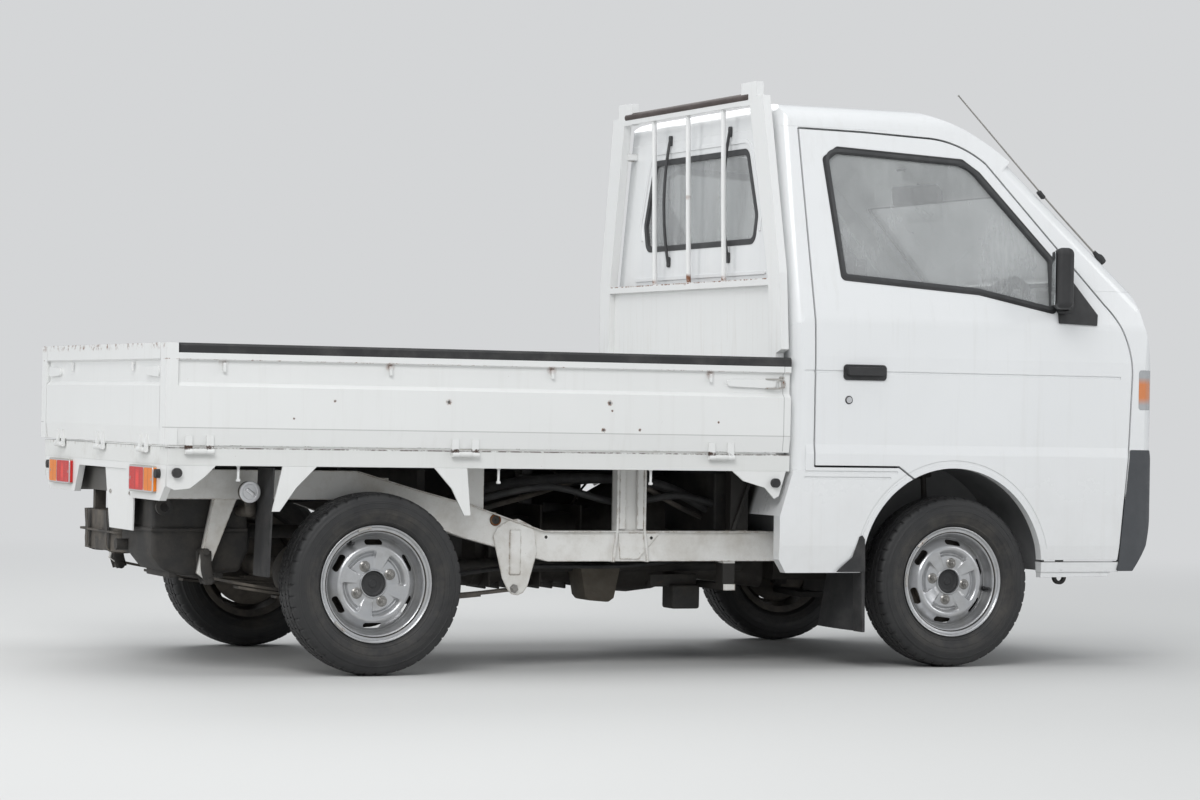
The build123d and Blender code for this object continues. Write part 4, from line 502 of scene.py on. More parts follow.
def vinyl(name, dark, pale):
    """Seat vinyl with a fine grain and shine worn onto it."""
    finish = Finish(name, 0.5)
    finish.base(finish.mix(finish.noise(6, 4), dark, pale))
    finish.rough(finish.band(finish.noise(14, 4), 0.3, 0.7, 0.38, 0.58))
    finish.bump(finish.cells(420), 0.0004, 0.6)
    return finish.material


def webbing():
    """Belt webbing with a tight diagonal weave."""
    finish = Finish("belt_webbing", 0.75)
    weave = finish.ribs(260, "DIAGONAL")
    finish.base(finish.mix(weave, (0.03, 0.031, 0.034), (0.075, 0.077, 0.082)))
    finish.bump(weave, 0.0005, 0.7)
    return finish.material


def cast_metal():
    """Dark engine metal with oily patches."""
    finish = Finish("engine_metal", 0.6, 0.4)
    patch = finish.specks(0.4, 0.7, 8, 6, 0.7)
    finish.base(finish.mix(patch, (0.055, 0.05, 0.045), (0.022, 0.019, 0.016)))
    finish.bump(finish.noise(90, 5), 0.001, 0.6)
    return finish.material


def worn_metal(name="worn_metal", steel=(0.5, 0.485, 0.46), rust_at=0.55):
    """Plated steel with rust freckles."""
    finish = Finish(name, 0.35, 0.75)
    finish.rounded(0.001)
    rust = finish.specks(rust_at, rust_at + 0.11, 90, 5, 0.75)
    finish.base(finish.mix(rust, steel, RUST))
    finish.rough(finish.band(rust, 0, 1, 0.3, 0.8))
    finish.bump(finish.noise(240, 3), 0.0003, 0.5)
    return finish.material


def mirror_glass():
    """Silvered mirror with dust at its rim."""
    finish = Finish("mirror_glass", 0.04, 1.0)
    dust = finish.specks(0.5, 0.8, 25, 5, 0.7)
    finish.base(finish.mix(finish.both(dust, 0.3), (0.8, 0.82, 0.83), (0.5, 0.49, 0.47)))
    finish.rough(finish.band(dust, 0, 1, 0.03, 0.3))
    return finish.material


def cabin_trim():
    """Interior panels and cab floor mats in dark grey."""
    finish = Finish("cabin_trim", 0.65)
    fade = finish.specks(0.35, 0.7, 4, 5, 0.6)
    finish.base(finish.mix(fade, (0.15, 0.152, 0.155), (0.22, 0.22, 0.222)))
    finish.bump(finish.cells(360), 0.0005, 0.5)
    return finish.material


CAB = cab_paint()
GATE = gate_paint()
DECK = deck_paint()
GUARD = guard_paint()
CHASSIS = chassis_paint()
UNDER = under_steel()
DIRTY_UNDER = under_steel("muddy_steel", (0.045, 0.041, 0.037), (0.2, 0.17, 0.135), 0.8)
SILVER = wheel_silver()
REAR_TYRE = tyre_rubber("rear_tyre_rubber", REAR_AXLE_X)
FRONT_TYRE = tyre_rubber("front_tyre_rubber", FRONT_AXLE_X)
RUBBER = rubber()
SEAL = rubber("seal_rubber", (0.04, 0.041, 0.043), (0.12, 0.12, 0.12))
RAIL_RUBBER = rubber("rail_rubber", (0.05, 0.036, 0.032), (0.16, 0.13, 0.12))
PLASTIC = grained_plastic("black_plastic", (0.016, 0.016, 0.017), (0.045, 0.045, 0.046))
BUMPER = grained_plastic("bumper_plastic", (0.052, 0.056, 0.062), (0.085, 0.09, 0.098), 0.0007)
TRIM = cabin_trim()
GLASS = glass()
REAR_LENS = tail_lens()
CLEAR_LENS = clear_lens()
VINYL = vinyl("seat_vinyl", (0.12, 0.125, 0.135), (0.17, 0.175, 0.185))
PIPING = vinyl("seat_piping", (0.05, 0.052, 0.056), (0.075, 0.077, 0.082))
WEBBING = webbing()
ENGINE = cast_metal()
WORN = worn_metal()
BRIGHT = worn_metal("bright_steel", (0.66, 0.66, 0.67), 0.7)
MIRROR = mirror_glass()
NUT = worn_metal("wheel_nut_plate", (0.3, 0.29, 0.275), 0.66)
RUSTY = worn_metal("rusty_lip", (0.16, 0.1, 0.06), 0.45)
BROWN_COVER = under_steel("brown_cover", (0.085, 0.072, 0.055), (0.19, 0.165, 0.13), 0.8)

NODE_FINISHES = [
    # material, CAD nodes
    (CAB, ["cab_back", "cab_nose", "cab_roof", "door_right", "door_left"]),
    (GATE, ["gate_right", "gate_left", "tailgate", "bed_skirts", "rear_lamp_panel"]),
    (DECK, ["bed_deck"]),
    (GUARD, ["guard_frame"]),
    (CHASSIS, ["frame_rails"]),
    (TRIM, ["cab_floor", "dashboard"]),
    (RUBBER, ["gate_rubber_right", "gate_rubber_left", "gate_stops", "mud_flaps"]),
    (SEAL, ["glazing_seals", "window_guards"]),
    (REAR_TYRE, ["tyre_rear_right", "tyre_rear_left"]),
    (FRONT_TYRE, ["tyre_front_right", "tyre_front_left"]),
    (SILVER, ["rim_rear_right", "rim_rear_left", "rim_front_right", "rim_front_left"]),
    (GLASS, ["door_glass_right", "door_glass_left", "windscreen", "rear_window"]),
    (PLASTIC, ["door_trim_right", "door_trim_left", "steering_wheel", "gear_levers"]),
    (BUMPER, ["front_bumper"]),
    (REAR_LENS, ["tail_lamps"]),
    (CLEAR_LENS, ["headlamps", "front_indicators"]),
    (VINYL, ["seats"]),
    (UNDER, ["front_suspension", "knuckle_right", "knuckle_left", "propeller_shaft", "exhaust", "tow_eyes"]),
    (DIRTY_UNDER, ["rear_axle", "leaf_springs", "fuel_tank"]),
    (ENGINE, ["engine_block"]),
]


def dress(node, material):
    """Give a CAD node its material in every slot."""
    if not node.material_slots:
        node.data.materials.append(material)
    for slot in node.material_slots:
        slot.material = material


for material, names in NODE_FINISHES:
    for name in names:
        dress(frame["nodes"][name], material)


# Mesh helpers

def add_object(name, data):
    """Put a new object in the scene."""
    made = bpy.data.objects.new(name, data)
    bpy.context.scene.collection.objects.link(made)
    return made


def new_mesh(name, shape, *materials):
    """Turn a bmesh into a mesh, and free it."""
    mesh = bpy.data.meshes.new(name)
    shape.to_mesh(mesh)
    shape.free()
    for material in materials:
        mesh.materials.append(material)
    return mesh


def shade_smooth(mesh, angle):
    """Smooth shading, except at edges sharper than an angle in degrees."""
    mesh.polygons.foreach_set("use_smooth", [True] * len(mesh.polygons))
    mesh.set_sharp_from_angle(angle=radians(angle))


def settle(made, body):
    """Let a piece ride on a body."""
    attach(made, body)
    return made


def from_bmesh(name, shape, material, body, angle=35):
    """A piece from a bmesh in the frame's coordinates."""
    bmesh.ops.recalc_face_normals(shape, faces=shape.faces)
    mesh = new_mesh(name, shape, material)
    shade_smooth(mesh, angle)
    return settle(add_object(name, mesh), body)


def turns(steps):
    """Angles of equal steps round a circle."""
    return [2 * pi * k / steps for k in range(steps)]


def squarish(angle, power):
    """A point on a circle pushed out towards a square; a low power is squarer."""
    return [copysign(abs(value) ** power, value) for value in (cos(angle), sin(angle))]


def rounded_block(half_wide, half_tall, radius, pieces):
    """Outline of a block with arcs round its four corner centres."""
    outline = []
    for wide, tall, start in ((-1, -1, 180), (1, -1, 270), (1, 1, 0), (-1, 1, 90)):
        for k in range(pieces + 1):
            a = radians(start + 90 * k / pieces)
            outline.append((wide * half_wide + radius * cos(a), tall * half_tall + radius * sin(a)))
    return outline


def skin(shape, rings, capped=True, looped=False):
    """Quads between rings of equal count; ends are capped, or joined into a loop."""
    made = [[shape.verts.new(point) for point in ring] for ring in rings]
    pairs = list(zip(made, made[1:]))
    if looped:
        pairs.append((made[-1], made[0]))
    for here, there in pairs:
        for k in range(len(here)):
            after = (k + 1) % len(here)
            shape.faces.new((here[k], here[after], there[after], there[k]))
    if capped and not looped:
        shape.faces.new(made[0])
        shape.faces.new(made[-1])


def lathe(shape, center, axis, profile, steps=32, looped=False):
    """Turn (along, radius) points round an axis."""
    axis = Vector(axis).normalized()
    first = axis.orthogonal().normalized()
    second = axis.cross(first)
    skin(shape, [
        [Vector(center) + axis * along + (first * cos(a) + second * sin(a)) * radius for a in turns(steps)]
        for along, radius in profile
    ], looped=looped)


def bead(shape, outline, facing, high, wide):
    """A round bead along a closed outline whose face looks one way."""
    rings = []
    for k, spot in enumerate(outline):
        ahead = (outline[(k + 1) % len(outline)] - outline[k - 1]).normalized()
        up = (facing - ahead * facing.dot(ahead)).normalized()
        across = ahead.cross(up)
        rings.append([spot + up * high * cos(a) + across * wide * sin(a) for a in turns(8)])
    skin(shape, rings, looped=True)


def smooth_path(points, pieces=8):
    """Points on a smooth curve through the given ones."""
    spots = [Vector(p) for p in points]
    if len(spots) < 3:
        return spots
    padded = [2 * spots[0] - spots[1], *spots, 2 * spots[-1] - spots[-2]]
    path = []
    for a, b, c, d in zip(padded, padded[1:], padded[2:], padded[3:]):
        for k in range(pieces):
            t = k / pieces
            path.append(0.5 * (2 * b + (c - a) * t + (2 * a - 5 * b + 4 * c - d) * t * t
                               + (3 * b - a - 3 * c + d) * t ** 3))
    path.append(spots[-1])
    return path


def tube(shape, points, radius, sides=12, pieces=8, flat=1.0, wide_axis=None):
    """A round or flattened bar along a smooth path; radius is one number or one for each end."""
    path = smooth_path(points, pieces)
    start, end = radius if isinstance(radius, tuple) else (radius, radius)
    rings = []
    across = None
    for k, spot in enumerate(path):
        ahead = (path[min(k + 1, len(path) - 1)] - path[max(k - 1, 0)]).normalized()
        if across is None:
            across = Vector(wide_axis) if wide_axis else ahead.orthogonal()
        across = (across - ahead * across.dot(ahead)).normalized()
        up = ahead.cross(across)
        size = start + (end - start) * k / (len(path) - 1)
        rings.append([spot + across * size * cos(a) + up * size * flat * sin(a) for a in turns(sides)])
    skin(shape, rings)


STRAP_SECTION = [(-1, -0.4), (-0.96, -1), (0.96, -1), (1, -0.4), (1, 0.4), (0.96, 1), (-0.96, 1), (-1, 0.4)]


def strap(shape, points, width, thickness, wide_axis, pieces=10):
    """A flat band along a smooth path."""
    path = smooth_path(points, pieces)
    rings = []
    for k, spot in enumerate(path):
        ahead = (path[min(k + 1, len(path) - 1)] - path[max(k - 1, 0)]).normalized()
        across = Vector(wide_axis)
        across = (across - ahead * across.dot(ahead)).normalized()
        up = ahead.cross(across)
        rings.append([spot + across * a * width / 2 + up * b * thickness / 2 for a, b in STRAP_SECTION])
    skin(shape, rings)


def prism(shape, outline, depth, bevel=0.0, segments=2):
    """Extrude a flat outline of 3-D points by a vector, with bevelled edges."""
    depth = Vector(depth)
    low = [shape.verts.new(Vector(p)) for p in outline]
    high = [shape.verts.new(Vector(p) + depth) for p in outline]
    faces = [shape.faces.new(low), shape.faces.new(high)]
    for k in range(len(low)):
        after = (k + 1) % len(low)
        faces.append(shape.faces.new((low[k], low[after], high[after], high[k])))
    bmesh.ops.recalc_face_normals(shape, faces=faces)
    if bevel:
        edges = list({edge for face in faces for edge in face.edges})
        bmesh.ops.bevel(shape, geom=edges, offset=bevel, segments=segments, profile=0.6, affect="EDGES")


def box(shape, center, size, bevel, tilt=None, segments=3):
    """A block with rounded edges, turned by a tilt matrix."""
    half = Vector(size) / 2
    tilt = tilt or Matrix.Identity(3)
    corners = [(-1, -1), (1, -1), (1, 1), (-1, 1)]
    outline = [Vector(center) + tilt @ Vector((x * half.x, y * half.y, -half.z)) for x, y in corners]
    prism(shape, outline, tilt @ Vector((0, 0, size[2])), bevel, segments)


def rectangle(x0, z0, x1, z1):
    """Corners of an upright rectangle from two opposite ones."""
    return [(x0, z0), (x1, z0), (x1, z1), (x0, z1)]


def plate(shape, outline, y, thick, bevel, segments=1):
    """A plate from X, Z points, from a Y across the truck by a thickness with its sign."""
    prism(shape, [(x, y, z) for x, z in outline], (0, thick, 0), bevel, segments)


# Tyres: moulded rings on the sidewall, lugs over the shoulder, four grooves and cut ribs round the tread

TREAD_STEPS = 384
PITCH_STEPS = 8
GROOVE_DEPTH = 0.0065
RIB_RADIUS = 0.263
SIDEWALL_RINGS = [
    # radius, how far it stands out from the carcass
    (0.1715, 0.0), (0.1745, 0.0004), (0.1765, 0.0018), (0.183, 0.0018), (0.1845, 0.0004), (0.19, 0.0),
    (0.198, 0.0), (0.204, 0.0), (0.2046, 0.0007), (0.2056, 0.0007), (0.2062, 0.0), (0.212, 0.0),
    (0.22, 0.0), (0.2206, 0.0006), (0.2216, 0.0006), (0.2222, 0.0), (0.229, 0.0), (0.235, 0.0),
    (0.236, 0.001), (0.2385, 0.001), (0.2395, 0.0),
]
SHOULDER = [
    # half offset, radius, share of the groove depth that lugs are cut to
    (0.0683, 0.243, 0.0), (0.0675, 0.247, 0.1), (0.0662, 0.251, 0.22), (0.064, 0.2553, 0.4),
    (0.061, 0.2584, 0.52), (0.0575, 0.2606, 0.6), (0.0535, 0.262, 0.6), (0.048, 0.2627, 0.55),
    (0.0425, 0.2634, 0.45),
]
CROWN = [
    # offset, groove depth share
    (0.042, 1), (0.0368, 1), (0.0362, 0), (0.029, 0), (0.02, 0), (0.0194, 1), (0.0142, 1), (0.0136, 0),
    (0.0, 0),
]


def sidewall_circle():
    """Centre and radius of the carcass arc through bead, widest point and shoulder."""
    (ax, ay), (bx, by), (cx, cy) = (0.051, 0.171), (0.0725, 0.212), (0.0675, 0.247)
    d = 2 * (ax * (by - cy) + bx * (cy - ay) + cx * (ay - by))
    a, b, c = ax * ax + ay * ay, bx * bx + by * by, cx * cx + cy * cy
    x = (a * (by - cy) + b * (cy - ay) + c * (ay - by)) / d
    y = (a * (cx - bx) + b * (ax - cx) + c * (bx - ax)) / d
    return x, y, hypot(ax - x, ay - y)


def tyre_section():
    """Half section from bead to crown as (offset, radius, lug share, groove share)."""
    x, y, reach = sidewall_circle()
    half = [(0.051, 0.1528, 0, 0), (0.051, 0.17, 0, 0)]
    for radius, proud in SIDEWALL_RINGS:
        half.append((x + sqrt(reach ** 2 - (radius - y) ** 2) + proud, radius, 0, 0))
    half += [(offset, radius, share, 0) for offset, radius, share in SHOULDER]
    half += [(offset, TYRE_RADIUS - 0.004 * (offset / 0.0535) ** 2, 0, share) for offset, share in CROWN]
    return half


def lug_cut(offset, step):
    """Share of a cut across a rib at this step: wide over the shoulder, thin and leaning on the ribs."""
    if abs(offset) > 0.0421:
        return 1.0 if step % PITCH_STEPS == 0 else 0.0
    lean = round(offset * 260)
    return 0.45 if (step + lean) % PITCH_STEPS == 4 else 0.0


def add_tyre(name, center, material):
    """Tyre with its tread, in place of the plain CAD one."""
    half = tyre_section()
    section = half + [(-o, r, lug, groove) for o, r, lug, groove in reversed(half[:-1])]
    rings = []
    for step, angle in enumerate(turns(TREAD_STEPS)):
        ring = []
        for offset, radius, lug, groove in section:
            cut = max(groove, lug * lug_cut(offset, step))
            if radius > RIB_RADIUS and not groove and not lug:
                cut = lug_cut(offset, step)
            reach = radius - GROOVE_DEPTH * cut
            ring.append((center.x + reach * sin(angle), center.y + offset, center.z + reach * cos(angle)))
        rings.append(ring)
    shape = bmesh.new()
    skin(shape, rings, looped=True)
    made = from_bmesh(f"tyre_tread_{name}", shape, material, f"wheel_{name}", 32)
    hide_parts(f"tyre_{name}")


# Wheels: pressed disc with six slots, a raised ring, four arms between the nuts, and a dropped rim

RIM_STEPS = 192
HUB_FACE = 0.0262
NUT_CIRCLE = 0.05715
DISC = [
    # radius, height of the disc's face without its arms
    (0.0372, 0.018), (0.0374, 0.029), (0.0384, 0.0306), (0.0402, 0.0306), (0.0415, 0.029), (0.0428, 0.0268),
    (0.046, 0.0262), (0.049, 0.0262), (0.053, 0.0262), (0.0572, 0.0262), (0.0615, 0.0262), (0.066, 0.0262),
    (0.0705, 0.0262), (0.075, 0.026), (0.079, 0.0256), (0.0812, 0.0225), (0.0836, 0.0188), (0.0862, 0.018),
    (0.0888, 0.019), (0.0912, 0.024), (0.0938, 0.0305), (0.0965, 0.0342), (0.1, 0.0362), (0.104, 0.0368),
    (0.108, 0.036), (0.1115, 0.0338), (0.114, 0.031), (0.1185, 0.0255), (0.1235, 0.02), (0.1285, 0.0148),
    (0.1325, 0.0108), (0.135, 0.0088), (0.1366, 0.0084),
]
RIM_FACE = [
    # radius, offset of the barrel and the flange on the outer side
    (0.1388, 0.01), (0.1412, 0.014), (0.144, 0.02), (0.1462, 0.028), (0.1472, 0.036), (0.1476, 0.043),
    (0.1492, 0.0462), (0.1522, 0.0482), (0.1558, 0.0492), (0.16, 0.05), (0.1632, 0.052), (0.1654, 0.0548),
    (0.1672, 0.0566), (0.169, 0.0572), (0.1704, 0.0566), (0.171, 0.0552), (0.1706, 0.0538),
]
RIM_BACK = [
    (0.164, 0.0522), (0.156, 0.0518), (0.1524, 0.05), (0.1516, 0.038), (0.15, 0.028), (0.1465, 0.018),
    (0.144, 0.008), (0.144, -0.008), (0.15, -0.028), (0.1518, -0.042), (0.1526, -0.0505),
    (0.159, -0.0522), (0.169, -0.054), (0.1708, -0.056), (0.169, -0.0574), (0.159, -0.0556),
    (0.149, -0.052), (0.1475, -0.042), (0.1455, -0.028), (0.14, -0.008), (0.1395, 0.004),
    (0.134, 0.0055), (0.1285, 0.011), (0.1185, 0.0218), (0.111, 0.029), (0.104, 0.0325), (0.0975, 0.03),
    (0.092, 0.019), (0.087, 0.0145), (0.0815, 0.0165), (0.07, 0.0222), (0.05, 0.0222), (0.0376, 0.018),
]
ARM_HALF_DEGREES = 15.5
ARM_INNER, ARM_OUTER = 0.0285, 0.035
SLOT_CIRCLE = 0.1225
SLOT_REACH = 0.0195
SLOT_RADIUS = 0.0078
BRAKE_BACK = {"rear": -0.052, "front": -0.026}
# The turned pieces of a wheel, as (along the axle, radius)
DRUM_BACK = [(0, 0.0), (0, 0.09), (0.004, 0.12), (0.01, 0.131), (0.015, 0.129), (0.013, 0.106)]
DRUM_FACE = [(0.0, 0.104), (0.003, 0.1), (0.006, 0.084), (0.01, 0.06), (0.018, 0.037), (0.0186, 0.0)]
NUT_PARTS = [
    # seat, nut and stud, each with its number of sides
    ([(-0.001, 0.0165), (0.0005, 0.0165), (0.0035, 0.0125), (0.0036, 0.0)], 24),
    ([(0.003, 0.0108), (0.0125, 0.0108), (0.015, 0.0088), (0.0151, 0.0)], 6),
    ([(0.014, 0.0058), (0.0205, 0.0058), (0.0215, 0.0048), (0.0216, 0.0)], 16),
]
HUB_CAP = [
    (0.012, 0.0366), (0.0225, 0.0366), (0.0238, 0.035), (0.0232, 0.03), (0.0205, 0.027), (0.0205, 0.013),
    (0.0225, 0.011), (0.0228, 0.006), (0.022, 0.0),
]
VALVE = [
    (0.0, 0.007), (0.01, 0.0066), (0.015, 0.0046), (0.025, 0.0042), (0.0255, 0.0052), (0.036, 0.0052),
    (0.037, 0.0036), (0.0371, 0.0),
]
WHEEL_TURNS = {
    # wheel: turn of the nuts, of the slots and of the valve, places of the balance weights
    "rear_right": (-28, 0, -31, (346, 222)), "rear_left": (12, 24, 150, (40, 160)),
    "front_right": (9.5, 8, 100, (272, 318)), "front_left": (-20, 10, 200, (80, 230)),
}


def wheel_spot(center, side, out, radius, degrees_round):
    """A point by its offset outwards, its radius and its turn from the top."""
    angle = radians(degrees_round)
    return Vector((center.x + radius * sin(angle), center.y + side * out, center.z + radius * cos(angle)))


def ease(value, low, high):
    """0 at low and 1 at high, with a smooth start and end."""
    t = min(max((value - low) / (high - low), 0), 1)
    return t * t * (3 - 2 * t)


def arm_height(radius, plain, away):
    """Raise the disc's face where one of the four arms runs from the ring to the hub."""
    if not 0.045 < radius < 0.0985:
        return plain
    top = ARM_INNER + (ARM_OUTER - ARM_INNER) * ease(radius, 0.056, 0.0975)
    reach = ease(radius, 0.0455, 0.054)
    across = 1 - ease(away, ARM_HALF_DEGREES - 2.5, ARM_HALF_DEGREES + 1.5)
    return plain + max(top - plain, 0) * reach * across


def rim_ring(center, side, turn, nut_turn):
    """The wheel's section at one turn; the arms lie halfway between the nuts."""
    away = abs((turn - nut_turn) % 90 - 45)
    points = [wheel_spot(center, side, arm_height(r, h, away), r, turn) for r, h in DISC]
    points += [wheel_spot(center, side, out, r, turn) for r, out in RIM_FACE + RIM_BACK]
    return points


def cut_slots(made, center, side, slot_turn):
    """Cut the six long slots through the disc's slope."""
    ends = ((1, range(0, 181, 20)), (-1, range(180, 361, 20)))
    round_ends = [(end, radians(turn)) for end, spans in ends for turn in spans]
    outline = [(end * SLOT_REACH + SLOT_RADIUS * sin(a), SLOT_RADIUS * cos(a)) for end, a in round_ends]
    shape = bmesh.new()
    for k in range(6):
        turn = slot_turn + 60 * k
        middle = wheel_spot(center, side, -0.01, SLOT_CIRCLE, turn)
        angle = radians(turn)
        outward = Vector((sin(angle), 0, cos(angle)))
        onward = Vector((cos(angle), 0, -sin(angle)))
        slot = [middle + onward * u + outward * (v - 4 * u * u) for u, v in outline]
        prism(shape, slot, (0, side * 0.055, 0))
    bmesh.ops.recalc_face_normals(shape, faces=shape.faces)
    cutter = add_object("slot_cutter", new_mesh("slot_cutter", shape))
    cut = made.modifiers.new("slots", "BOOLEAN")
    cut.operation = "DIFFERENCE"
    cut.solver = "EXACT"
    cut.object = cutter
    bpy.context.view_layer.update()
    result = bpy.data.meshes.new_from_object(made.evaluated_get(bpy.context.evaluated_depsgraph_get()))
    made.modifiers.clear()
    made.data = result
    bpy.data.objects.remove(cutter)
    shade_smooth(result, 38)


def add_disc(name, center, side, nut_turn, slot_turn):
    """Disc and rim in one skin, silver outside; dark muddy steel behind, partly dirt and partly painted
    shade.
    """
    shape = bmesh.new()
    rings = [rim_ring(center, side, 360 * k / RIM_STEPS, nut_turn) for k in range(RIM_STEPS)]
    skin(shape, rings, looped=True)
    bmesh.ops.recalc_face_normals(shape, faces=shape.faces)
    mesh = new_mesh(f"wheel_disc_{name}", shape, SILVER, DIRTY_UNDER)
    outside = len(DISC) + len(RIM_FACE)
    per_ring = outside + len(RIM_BACK)
    # The back faces take the dark muddy steel: partly dirt, partly painted shade behind the wheel.
    for polygon in mesh.polygons:
        places = [v % per_ring for v in polygon.vertices]
        if max(places) > outside + 1 or (max(places) == per_ring - 1 and min(places) == 0):
            polygon.material_index = 1
    made = add_object(mesh.name, mesh)
    cut_slots(made, center, side, slot_turn)
    settle(made, f"wheel_{name}")
    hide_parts(f"rim_{name}")


def add_wheel_fittings(name, center, side, nut_turn, valve_turn, weights):
    """Brake drum, nuts on their seats, hub cap, valve and balance weights."""
    axis = (0, side, 0)
    body = f"wheel_{name}"
    drum = bmesh.new()
    back = BRAKE_BACK[name.split("_")[0]]
    lathe(drum, center, axis, [(back + deep, radius) for deep, radius in DRUM_BACK] + DRUM_FACE, 48)
    from_bmesh(f"brake_drum_{name}", drum, DIRTY_UNDER, body)
    nuts = bmesh.new()
    for quarter in range(4):
        place = wheel_spot(center, side, HUB_FACE, NUT_CIRCLE, nut_turn + 90 * quarter)
        for profile, steps in NUT_PARTS:
            lathe(nuts, place, axis, profile, steps)
    from_bmesh(f"wheel_nuts_{name}", nuts, NUT, body, 30)
    cap = bmesh.new()
    lathe(cap, center, axis, HUB_CAP, 48)
    from_bmesh(f"hub_cap_{name}", cap, PLASTIC, body, 40)
    valve = bmesh.new()
    lathe(valve, wheel_spot(center, side, 0.012, 0.1375, valve_turn), axis, VALVE, 16)
    from_bmesh(f"valve_{name}", valve, PLASTIC, body, 40)
    lead = bmesh.new()
    for weight in weights:
        clip = [wheel_spot(center, side, 0.0555, 0.1648, weight + turn) for turn in (-7, -3.5, 0, 3.5, 7)]
        tube(lead, clip, 0.005, 8, 3)
    from_bmesh(f"balance_weights_{name}", lead, WORN, body, 40)


for wheel_name, wheel_side in WHEELS:
    low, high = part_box(f"tyre_{wheel_name}")
    wheel_center = (low + high) / 2
    nut_degrees, slot_degrees, valve_degrees, weight_degrees = WHEEL_TURNS[wheel_name]
    add_tyre(wheel_name, wheel_center, REAR_TYRE if wheel_center.x < 0 else FRONT_TYRE)
    add_disc(wheel_name, wheel_center, wheel_side, nut_degrees, slot_degrees)
    add_wheel_fittings(wheel_name, wheel_center, wheel_side, nut_degrees, valve_degrees, weight_degrees)


# Bed fittings

LATCH_Z = 0.87
LATCH_WIRE = 0.0028
PIN_PLACES = (-1.414, -0.618, -0.128)


def add_gate_fittings(name, side):
    """Wire loops of the latch with their catch, on the gate."""
    loops = bmesh.new()
    end_x, end_y = 0.2985, side * 0.696
    for shift in (-0.0135, 0.0135):
        tube(loops, [
            (0.236, side * 0.6935, LATCH_Z + shift), (0.262, side * 0.6985, LATCH_Z + shift * 1.05),
            (0.286, side * 0.6975, LATCH_Z + shift * 0.95), (end_x, end_y, LATCH_Z + shift * 0.75),
        ], LATCH_WIRE, 10)
    tube(loops, [
        (end_x, end_y, LATCH_Z - 0.0105), (0.3015, side * 0.6958, LATCH_Z), (end_x, end_y, LATCH_Z + 0.0105),
    ], LATCH_WIRE, 10)
    lathe(loops, (0.2945, end_y, LATCH_Z - 0.0085), (0, 0, 1),
          [(0, 0.0), (0.0, 0.0052), (0.017, 0.0052), (0.017, 0.0)], 16)
    for x in (0.2905, end_x):
        lathe(loops, (x, side * 0.6868, LATCH_Z + 0.019), (0, side, 0),
              [(0, 0.0045), (0.002, 0.0045), (0.004, 0.003), (0.0041, 0)], 12)
    from_bmesh(f"latch_loops_{name}", loops, WORN, f"gate_{name}", 40)


def add_rope_pins(name, side):
    """Headed pins that hang under the side sill."""
    pins = bmesh.new()
    for x in PIN_PLACES:
        lathe(pins, (x, side * 0.668, 0.6055), (0, 0, -1), [
            (0.0, 0.0065), (0.003, 0.0062), (0.004, 0.004), (0.037, 0.0038), (0.0385, 0.0068),
            (0.044, 0.0068), (0.0455, 0.005), (0.0456, 0.0),
        ], 16)
    from_bmesh(f"rope_pins_{name}", pins, GUARD, "root", 40)


LUG_WASHER = [(0.002, 0.0), (0.002, 0.0085), (0.004, 0.0085), (0.0041, 0.0)]
LUG_NUT = [(0.004, 0.0), (0.004, 0.0062), (0.008, 0.0062), (0.0085, 0.0)]


def add_guard_fittings():
    """Rubber on the guard's top rail, and the bolted lugs that hold it to the cab."""
    rail = bmesh.new()
    arc = [radians(turn) for turn in range(-40, 221, 20)]
    skin(rail, [
        [(0.2845 + 0.0165 * cos(a), -0.466 + 0.932 * k / 24, 1.7575 + 0.0145 * sin(a)) for a in arc]
        for k in range(25)
    ])
    from_bmesh("guard_rail_rubber", rail, RAIL_RUBBER, "root", 50)
    lugs = bmesh.new()
    for side in (-1, 1):
        y, z = side * 0.5185, 1.63
        box(lugs, (0.305, y, z), (0.05, 0.005, 0.026), 0.0015)
        for x in (0.292, 0.318):
            lathe(lugs, (x, y, z), (0, side, 0), LUG_WASHER, 20)
            lathe(lugs, (x, y, z), (0, side, 0), LUG_NUT, 6)
    from_bmesh("guard_lug_bolts", lugs, WORN, "root")


PLATE_BOLT = [(0, 0.0075), (0.0012, 0.0075), (0.0013, 0.0048), (0.0042, 0.0045), (0.0048, 0.003), (0.0049, 0)]
LAMP_SCREW = [(-0.001, 0.0045), (0.0006, 0.0045), (0.0012, 0.003), (0.0013, 0)]


def add_plate_fittings():
    """Bolts with washers on the blank plate panel, and screws in the lamps."""
    bolts = bmesh.new()
    for y in (-0.297, -0.087):
        lathe(bolts, (-1.6245, y, 0.515), (-1, 0, 0), PLATE_BOLT, 6)
    for side in (-1, 1):
        for y in (0.352, 0.567):
            lathe(bolts, (-1.64, side * y, TAIL_LAMP_Z), (-1, 0, 0), LAMP_SCREW, 16)
    from_bmesh("rear_screws", bolts, WORN, "root", 40)


for side_name, side_sign in SIDES:
    add_gate_fittings(side_name, side_sign)
    add_rope_pins(side_name, side_sign)
add_guard_fittings()
add_plate_fittings()


# Frame: flange along the rail's top, spring hanger plates, post channels, bolts and holes

RAIL_TOP = [(0.352, 0.416), (-0.4005, 0.416), (-0.6315, 0.491), (-0.8215, 0.54), (-0.9955, 0.59)]
HANGER = [
    (-0.566, 0.398), (-0.552, 0.425), (-0.515, 0.448), (-0.486, 0.452), (-0.44, 0.43), (-0.43, 0.412),
    (-0.424, 0.349), (-0.452, 0.25), (-0.466, 0.23), (-0.483, 0.223), (-0.503, 0.226), (-0.516, 0.238),
    (-0.534, 0.273),
]


